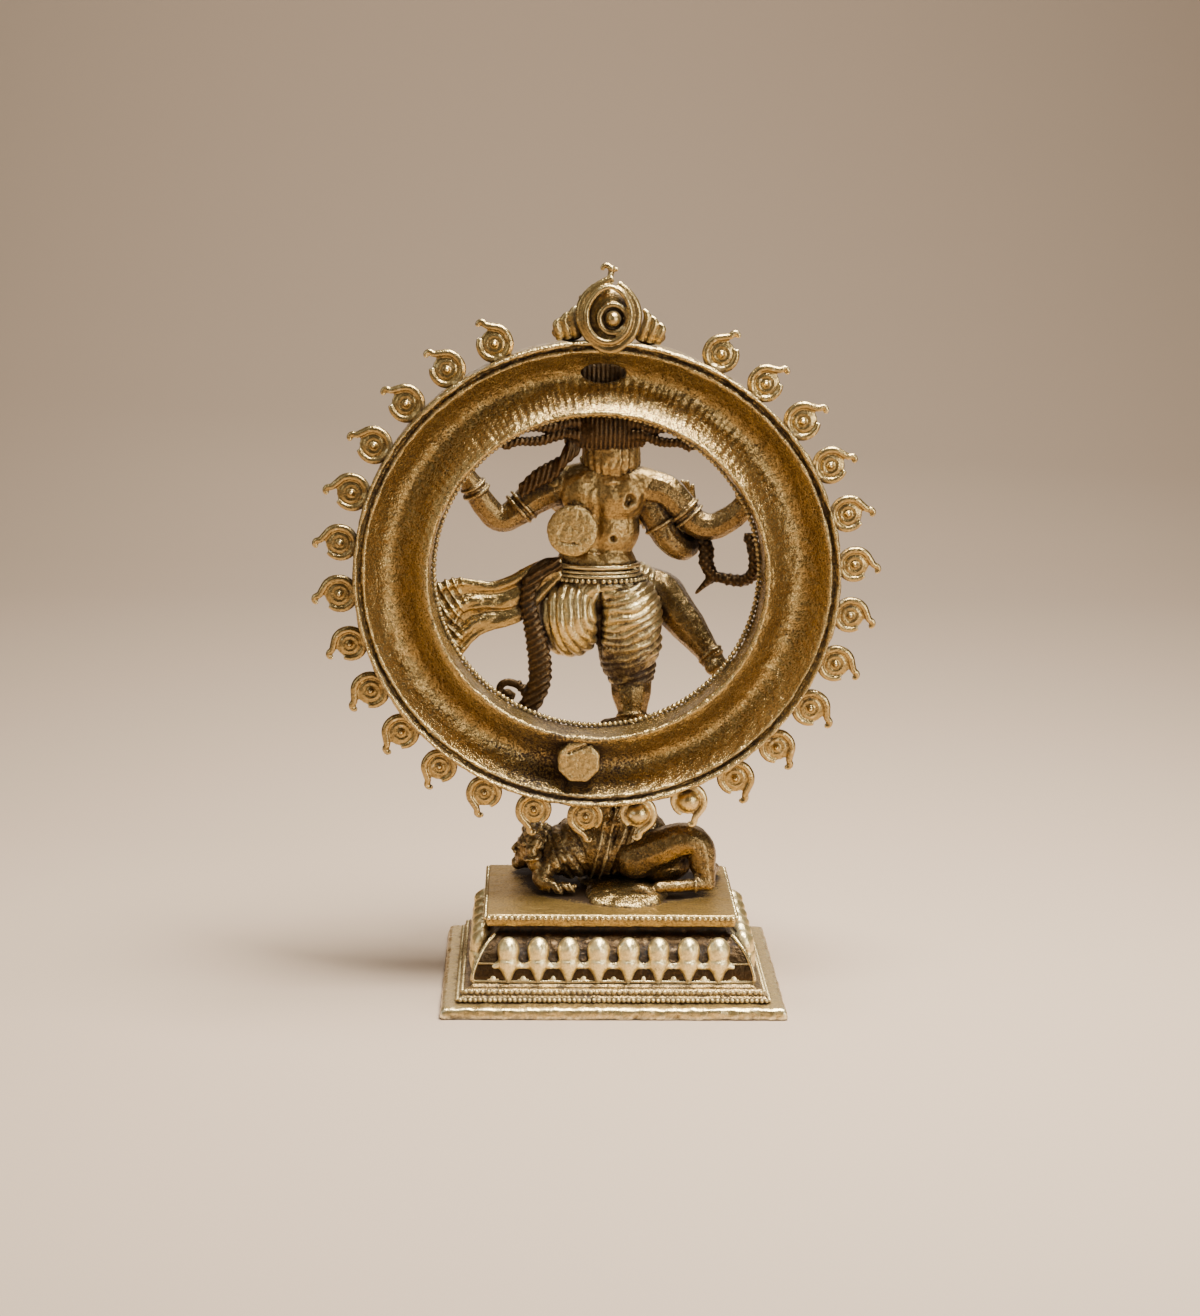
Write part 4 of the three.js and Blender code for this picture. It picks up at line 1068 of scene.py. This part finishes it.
def makeLoincloth():
    cloth = melted([
        ball((9, -6.8, 76.2), (7, 6.9, 8.4)), ball((-3, -7.2, 76.4), (6.9, 6.6, 8.6)),
        ball((3.6, -8.2, 82.4), (9.2, 6, 4.8)),
        ball((3, -9.6, 78), (6, 5.5, 6)),
        strand([(-3, -7.4, 77, 6.8), (-3.1, -8.2, 70.5, 6.7), (-3.2, -9.2, 67.4, 6.1), (-3.8, -9.6, 64.2, 5),
                (-4.2, -9.6, 61.9, 4.4)], roundness=6),
        limb([(8.6, -9.4, 77.6, 6.2), (3, -12.4, 80.6, 5.6), (-4.6, -14.4, 81.2, 5.2)]),
    ], "loincloth", loincloth["grid"], 7)
    tooled(cloth, -1.1, lambda x, y, z: exp(-((x - 3.1) / 0.6) ** 2) * (1 if y > -6 and z < 82 else 0))

    def sharp(phase):
        return abs(sin(pi * phase)) ** 0.8

    def leftFolds(x, y, z):
        if x < 3.4 or y < -9.5:
            return 0
        out = hypot(x - 2, (z - 78.6) / 1.25) + 0.35 * noise.noise(Vector((x / 4, 3, z / 4)))
        fade = min(1, out / 3.5) * (1 if z < 82.4 else max(0, (84.2 - z) / 1.8))
        return sharp(out / loincloth["leftPitch"]) * fade * (0.75 + 0.5 * noise.noise(Vector((x / 3, 0, z / 3))))

    def rightFolds(x, y, z):
        if x > 2.9 or z > 83.6 or (y < -10.5 and z > 75.5):
            return 0
        away = 3.2 - x
        wave = 0.9 * noise.noise(Vector((x / 5, 1, z / 4)))
        depth = min(1, away / 1.5) * (0.72 + 0.55 * noise.noise(Vector((x / 3, 0, z / 2))))
        return sharp((z - 0.026 * away * away + wave) / loincloth["rightPitch"]) * depth

    def thighFolds(x, y, z):
        if y > -9.5 or z < 74.6 or z > 86:
            return 0
        wave = 0.8 * noise.noise(Vector((x / 4, y / 4, z / 4)))
        depth = min(1, (-9.5 - y) / 1.5) * (0.7 + 0.5 * noise.noise(Vector((x / 3, 4, z / 3))))
        return sharp((x + 0.5 * (z - 80) + wave) / loincloth["thighPitch"]) * depth

    tooled(cloth, 0.6, thighFolds)
    tooled(cloth, 0.6, leftFolds)
    tooled(cloth, 0.7, rightFolds)
    roughCast(cloth, (1.4, 0.18))
    finished(cloth, clothBrass, "dancer_loincloth")
    bands = [belt(87.2, 8.7, 5.9, 0.5), belt(86.1, 8.8, 6, 0.28), belt(85.3, 9, 6.1, 0.34)]
    pearl = pearlOf(0.5, 0.5, 0.5)
    for i in range(loincloth["pearls"]):
        a = i * tau / loincloth["pearls"]
        x = 3.6 + 9.3 * cos(a) - (0.6 if cos(a) < 0 else 0)
        bands.append(twinOf(pearl, "beltPearl", shiftBy(x, -7.9 + 6.4 * sin(a), 84.4)))
    for i in range(loincloth["tassels"]):  # hung from the front of the belt
        a = radians(200 + i * 14)
        x, y = 3.6 + 9.2 * cos(a), -8.2 + 6.9 * sin(a)
        bands.append(strand([(x, y, 83.4, 0.35), (x, y - 0.5, 81.8, 0.3), (x, y - 0.7, 80.6, 0.5)], roundness=2,
                            finer=2))
    drop(pearl)
    bands.append(ball((3.4, -14, 85.4), (1.7, 0.9, 1.5), sides=16))
    gear = joined(bands, "dancerBelt")
    smooth()
    finished(gear, firedBrass)


# A thin cloth whose middle surface is given by place(u, v), both running 0 to 1.
def sheet(name, across, along, place, thick, grid):
    bpy.ops.mesh.primitive_grid_add(x_subdivisions=across, y_subdivisions=along, size=1)
    piece = bpy.context.object
    for vertex in piece.data.vertices:
        vertex.co = spot(*place(vertex.co.x + 0.5, vertex.co.y + 0.5))
    applied(piece, "SOLIDIFY", thickness=thick / 1000, offset=0)
    return melted([piece], name, grid, 2)


def along(points, t):
    span = (len(points) - 1) * min(max(t, 0), 0.9999)
    k = int(span)
    share = span - k
    share = share * share * (3 - 2 * share) * 0.35 + share * 0.65
    return [a + (b - a) * share for a, b in zip(points[k], points[k + 1])]


def makeSash():
    top = [(11, 88.8), (15, 88), (18.2, 86.6), (21.6, 84.8), (24.9, 83.7), (28.4, 83.9), (31.5, 84.4), (35, 83.8),
           (38.2, 82.4)]
    low = [(11, 85.6), (14.2, 82), (17.2, 78.4), (19.6, 76.4), (22.4, 75.3), (25.4, 74.6), (28.4, 73.2), (31.2, 70.2),
           (33.6, 66.8)]

    def place(u, v):
        a, b = along(top, u), along(low, u)
        x, z = a[0] + (b[0] - a[0]) * v, a[1] + (b[1] - a[1]) * v
        folds = 0.55 * sin(v * 15 + u * 2) + 0.35 * sin(v * 31 - u * 5) * u
        return x, -4.4 + 3 * u + folds, z

    cloth = sheet("flyingSash", 60, 60, place, 1.5, 0.26)
    rims = [*[strand([(along(edge, t / 8)[0], -4.1 + 3 * t / 8, along(edge, t / 8)[1], thick) for t in range(9)])
              for edge, thick in ((top, 0.6), (low, 0.75))],
            strand([(16.4, -3.6, 81.6, 0.5), (22, -2.6, 79.2, 0.7), (27.6, -1.8, 79.2, 0.75), (31.4, -1.4, 78.2, 0.6),
                    (33.4, -1, 75.2, 0.4)])]
    cloth = melted([cloth, *rims], "flyingSash", 0.22, 3)
    ends = lambda x, y, z: max(0, sin((hypot(x - 16, z - 92)) * 4.1)) * max(0, min(1, (x - 30.6) / 2))
    tooled(cloth, 0.4, ends)
    roughCast(cloth, (1.6, 0.22))
    finished(cloth, firedBrass, "flying_sash")


def makeScarf():
    line = [(11.4, -3.4, 88, 1.5), (14.6, -3, 86.8, 1.7), (17.2, -2.4, 84, 1.7), (17.9, -2.2, 80.4, 1.45),
            (17.2, -2, 76.4, 1.65), (16, -2, 71.6, 2.15),
            (15.3, -2, 66.6, 2.3), (15.6, -2, 62.4, 2.2), (17.2, -2, 58.6, 2.1), (19.2, -2, 55.2, 1.8)]
    curl = [(17.6, -2.2, 60.4, 0.9), (20.6, -1.8, 62.8, 0.85), (23.2, -1.6, 62.6, 0.8), (23.4, -1.6, 60.4, 0.75),
            (21.4, -1.6, 59.6, 0.65), (20.6, -1.6, 61, 0.5)]
    scarf = melted([strand(line, roundness=5, finer=10), strand(curl), ball((22, -1.4, 61), (1, 0.9, 0.8), sides=12)],
                   "hangingScarf", 0.2, 2)
    scarf.data.transform(shiftBy(0, -2, 0) @ scaleMatrix(1, 0.62, 1) @ shiftBy(0, 2, 0))
    twist = lambda x, y, z: (0.5 + 0.5 * sin(z * 4.2 + x * 2.6)) if x < 19.8 or z > 64 else 0
    tooled(scarf, 0.3, twist)
    roughCast(scarf, (1.3, 0.25))
    finished(scarf, darkBrass, "hanging_scarf")


def makeCobra():
    body = [(-17.2, -5.6, 81.7, 0.4), (-18.8, -5.4, 83.4, 0.7), (-20.6, -5, 84.9, 1.05), (-23.4, -4.2, 84.7, 1.2),
            (-26.4, -3.4, 84.6, 1.25), (-28.3, -2.8, 86, 1.3),
            (-28.9, -2.8, 88.8, 1.35), (-28.5, -3, 91.4, 1.5), (-27.5, -3.4, 93.6, 1)]
    neck = [(-15.8, -10.6, 94.6, 1), (-18, -7.6, 93, 1.3), (-19, -6.2, 90.6, 1.55), (-19, -5.4, 87.8, 1.5),
            (-20.4, -5, 85.2, 1.25)]
    snake = melted([*limb(body), *limb(neck), ball((-27.3, -4, 93.4), (0.9, 1.6, 1), (20, 0, 0), 12)], "armCobra",
                   0.2, 2)
    scales = lambda x, y, z: (0.5 + 0.5 * sin((x + z) * 4.4)) * (0.5 + 0.5 * sin((x - z) * 4.4))
    tooled(snake, 0.26, scales)
    finished(snake, darkBrass, "cobra")


bossShape = {"x": 8.9, "z": 95.1, "squash": 1.02, "grid": 0.24}


def makeBoss():
    outline = [(0, 0.65), (3.2, 0.66), (4.5, 0.6), (5, 0.35), (5.2, -0.2), (5.15, -0.9), (4.4, -1.5), (3.6, -2.6),
               (3.4, -4.8), (0, -4.8)]
    boss = spun(outline, "Y", 64, "backBoss")
    boss.data.transform(shiftBy(bossShape["x"], 0, bossShape["z"]) @ toStatue @ scaleMatrix(1, 1,
            bossShape["squash"]))
    applied(boss, "REMESH", mode="VOXEL", voxel_size=bossShape["grid"] / 1000)
    applied(boss, "SMOOTH", factor=0.5, iterations=2)
    smooth()
    roughCast(boss, (1.2, 0.32), (0.5, 0.22))
    tooled(boss, -0.35,
           lambda x, y, z: 1 if y > 0.2 and abs(z - 92.6 - 0.1 * (x - 9)) < 0.22 and 7.6 < x < 11.6 else 0)
    finished(boss, filedBrass, "back_boss")


makeDancerTorso()
makeDancerArms()
makeDancerLegs()
makeLoincloth()
makeSash()
makeScarf()
makeCobra()
makeBoss()
print("dancer made")


# Head, crown and hair
face = {"x": 1.8, "y": -8.2, "z": 117.6}


def makeHead():
    def at(x, y, z, *thick):
        return face["x"] + x, face["y"] + y, face["z"] + z, *thick

    parts = [
        ball(at(0, 0, 0.3), (4.6, 4.9, 5.3), sides=32), ball(at(0, -1.5, -3), (3.5, 3.3, 2.9), sides=24),
        ball(at(0, -3.8, -4.5), (1.25, 1, 0.95), sides=16),
        strand([at(0, -4.55, 1.1, 0.42), at(0, -5, -0.4, 0.5), at(0, -5.5, -1.6, 0.6)]),
        ball(at(0, -5.45, -1.75), (0.62, 0.6, 0.5), sides=14),
        strand([at(-1.6, -4.55, -3.05, 0.2), at(-0.6, -4.95, -2.85, 0.34), at(0, -5, -2.95, 0.3),
                at(0.6, -4.95, -2.85, 0.34), at(1.6, -4.55, -3.05, 0.2)]),
        strand([at(-1.3, -4.6, -3.35, 0.2), at(0, -4.95, -3.55, 0.42), at(1.3, -4.6, -3.35, 0.2)]),
        ball(at(0, -4.75, 1.9), (0.3, 0.35, 0.6), sides=10),
    ]
    for s in (-1, 1):
        parts += [
            ball(at(s * 2.1, -3.4, -1.9), (1.5, 1.1, 1.4), sides=16),
            ball(at(s * 1.75, -4.2, 0.05), (1.05, 0.6, 0.55), sides=16),
            ball(at(s * 0.62, -5.1, -1.85), (0.4, 0.42, 0.36), sides=10),
            strand([at(s * 0.7, -4.75, 0.05, 0.14), at(s * 1.3, -4.9, 0.5, 0.17), at(s * 2.2, -4.6, 0.45, 0.17),
                    at(s * 3, -4, 0.1, 0.13)]),
            strand([at(s * 0.7, -4.75, -0.05, 0.12), at(s * 1.6, -4.8, -0.42, 0.15), at(s * 2.9, -4.05, 0, 0.12)]),
            strand([at(s * 0.6, -4.9, 1, 0.2), at(s * 1.7, -4.75, 1.5, 0.24), at(s * 3.2, -3.9, 0.9, 0.16)]),
            strand([at(s * 4.4, -0.4, 1.2, 0.5), at(s * 4.85, 0.6, 0.6, 0.6), at(s * 4.8, 0.3, -1.2, 0.5),
                    at(s * 4.7, -0.4, -3.4, 0.42)]),
            ball(at(s * 4.5, -0.2, -0.2), (0.5, 1, 1.4), sides=12),
            hoop(at(s * 4.9, -0.4, -4.4), 1.15, 0.42, (0, 90, 0), 20),
        ]
    head = melted(parts, "dancerHead", 0.15, 2)
    finished(head, rubbedAndGlintBrass, "dancer_head")


def makeCrown():
    x, y = face["x"], face["y"] + 0.8
    outline = [(0, 119.2), (4.9, 119.4), (5.3, 120.2), (5.3, 120.9), (4.7, 121.4), (4.9, 122), (4.9, 122.8),
               (4.3, 123.2), (4.4, 124.6), (4.2, 125.6), (4.4, 126.2), (3.8, 126.7), (3.7, 127.8), (3.5, 128.8),
               (3.7, 129.3), (3.1, 129.8), (2.8, 130.8), (2.3, 131.4), (1.6, 131.9), (1.1, 132.4), (0, 132.7)]
    cap = spun(outline, "Z", 48, "crownCap")
    cap.data.transform(shiftBy(x, y, 0) @ toStatue)
    parts = [cap]
    for k in range(14):
        a = k * tau / 14
        out = lambda r, h, t, turn=0: (x + r * cos(a + turn), y + r * sin(a + turn), h, t)
        parts.append(strand([out(4.4, 123.4, 0.7), out(4.5, 124.4, 0.85), out(4.2, 125.6, 0.6)], roundness=2,
                            finer=4))
        parts.append(ball(out(5.1, 120.6, 1)[:3], (0.55, 0.55, 0.55), sides=8))
        parts.append(strand([out(3.8, 127, 0.55), out(3.8, 128, 0.7, 0.1), out(3.5, 129, 0.5)], roundness=2, finer=4))
    parts.append(strand([(x - 2.6, y - 5, 123.4, 0.3), (x - 2, y - 5.2, 122, 0.55), (x, y - 5.5, 121.4, 0.65),
                         (x + 2, y - 5.2, 122, 0.55), (x + 2.6, y - 5, 123.4, 0.3)]))
    parts.append(ball((x, y - 5, 123.6), (0.9, 0.7, 1.1), sides=12))
    crown = melted(parts, "hairCrown", 0.2, 2)
    finished(crown, darkBrass, "dancer_hair_crown")


# Matted locks thrown out to both sides by the dance, lying along the top of the opening.
def makeHair():
    strands = []
    for side in (-1, 1):
        for k in range(5):
            reach = (19, 17.5, 16, 14, 11.5)[k] * (0.86 if side < 0 else 1)
            rise = 114.5 + k * 2.3
            x = 2.6
            lock = []
            for step in range(7):
                t = step / 6
                z = rise - 2.6 * t * t * (1 - 0.16 * k) + 0.45 * sin(t * 9 + k)
                lock.append((x + side * (5 + (reach - 5 + 1.2) * t), -2.6 + 1.6 * t - 0.2 * k, z, 1.25 - 0.55 * t))
            strands.append(strand(lock, roundness=3, finer=8))
            tip = lock[-1]
            strands.append(hoop((tip[0], tip[1], tip[2] + 0.8), 0.8, 0.42, (90, 0, 0), 16))
    for k in range(17):  # hair combed down the back of the head
        x = -5.4 + k * 0.98
        bow = 1 - ((x - 2.4) / 8.6) ** 2
        strands.append(strand([(x * 0.8 + 0.5, -3.8 + 1.6 * bow, 119.4, 0.55), (x, -3.8 + 2.2 * bow, 116.4, 0.62),
                               (x, -3.6 + 1.9 * bow, 113.8, 0.56),
                               (x * 0.96, -4 + 1.4 * bow, 112.2 - 0.5 * bow, 0.35)], roundness=2))
    strands.append(ball((2.2, -4.6, 116.4), (7.6, 2.6, 3.6)))
    strands.append(ball((3.2, -1.5, 126.4), (6.8, 1.6, 4)))
    for k in range(4):  # locks over the left shoulder
        strands.append(strand([(7.4 + k * 0.5, -4.6 + 0.4 * k, 113.6, 0.8),
                               (9 + k * 0.6, -3.2 + 0.2 * k, 110.6 - 0.3 * k, 0.95),
                               (12 + k * 0.3, -3.2, 108.8 - 0.85 * k, 0.95),
                               (16, -3.4, 106.6 - 0.75 * k, 0.85), (19.6, -3.8, 103.6 - 0.6 * k, 0.5)]))
    hair = melted(strands, "hairFan", 0.22, 1)

    def combed(x, y, z):
        return abs(sin(x * 3.4)) if z > 111.6 and -5.6 < x < 10.4 else 0.5 + 0.5 * sin(x * 6.2 + z * 1.5)

    tooled(hair, 0.22, combed)
    finished(hair, darkBrass, "hair_fan")


held = {"drum": (-31.6, -2.6, 108.4), "drumTilt": 32, "bowlX": 32.4, "bowlY": -2.6}


def makeHeldThings():
    outline = [(0, -3.9), (2.6, -3.9), (2.95, -3.4), (2.9, -2.9), (2.3, -2.6), (1.5, -0.6), (1.3, 0), (1.5, 0.6),
               (2.3, 2.6), (2.9, 2.9), (2.95, 3.4), (2.6, 3.9), (0, 3.9)]
    drum = spun(outline, "Z", 40, "handDrum")
    turn = Matrix.Rotation(radians(held["drumTilt"]), 4, "Y")
    drum.data.transform(toStatue @ shiftBy(*held["drum"]) @ turn @ scaleMatrix(1, 0.74, 1))
    parts = [drum, cuff(held["drum"], (0.53, 0, 0.85), 1.5, 0.42, 20)]
    drum = melted(parts, "handDrum", 0.18, 1)
    finished(drum, castBrass, "drum")
    outline = [(0, 108.2), (1, 108.3), (1.1, 108.9), (2, 109.4), (2.6, 110.2), (2.75, 111), (2.4, 111), (1.6, 110.6),
               (0, 110.4)]
    bowl = spun(outline, "Z", 40, "fireBowl")
    bowl.data.transform(toStatue @ shiftBy(held["bowlX"], held["bowlY"], 0) @ scaleMatrix(1, 0.9, 1))
    tongues = [bowl]
    for dx, top, thick in ((-1.4, 112.8, 0.6), (0, 114.6, 0.85), (1.4, 113.2, 0.6)):
        lick = ((0.7, 110.4, thick), (1.2, 111.9, thick), (0.9, (top + 111.9) / 2, thick * 0.7), (1.3, top, 0.16))
        tongues.append(strand([(held["bowlX"] + dx * sway, held["bowlY"], z, wide) for sway, z, wide in lick]))
    bowl = melted(tongues, "fireBowl", 0.16, 1)
    finished(bowl, castBrass, "fire_bowl")


def makeNecklaces():
    rows = []
    for low, wide, thick, out in ((106.4, 5.2, 0.42, 0), (104.6, 6.4, 0.38, 0.5), (102.8, 7.2, 0.38, 1.5)):
        line = []
        for k in range(-4, 5):
            turn, lean = radians(k * 24), radians(k * (20 - 4 * out))
            z = low + 1.9 * (1 - cos(turn)) * 1.3
            line.append((1.9 + wide * sin(turn), -7.6 - (5.6 + out) * cos(lean), z, thick))
        rows.append(strand(line, roundness=2))
    rows.append(strand([(10.4, -10.6, 104.6, 0.4), (7.4, -14.2, 101, 0.44), (3.6, -14.1, 96.4, 0.44),
                        (0.2, -13.8, 92.4, 0.44), (-2.8, -12.5, 88.6, 0.4)]))
    rows.append(ball((1.9, -13.9, 101.9), (0.9, 0.6, 1.1), sides=12))
    gear = joined(rows, "dancerNecklaces")
    smooth()
    finished(gear, firedBrass)


makeHead()
makeCrown()
makeHair()
makeHeldThings()
makeNecklaces()
print("head, hair and held things made")
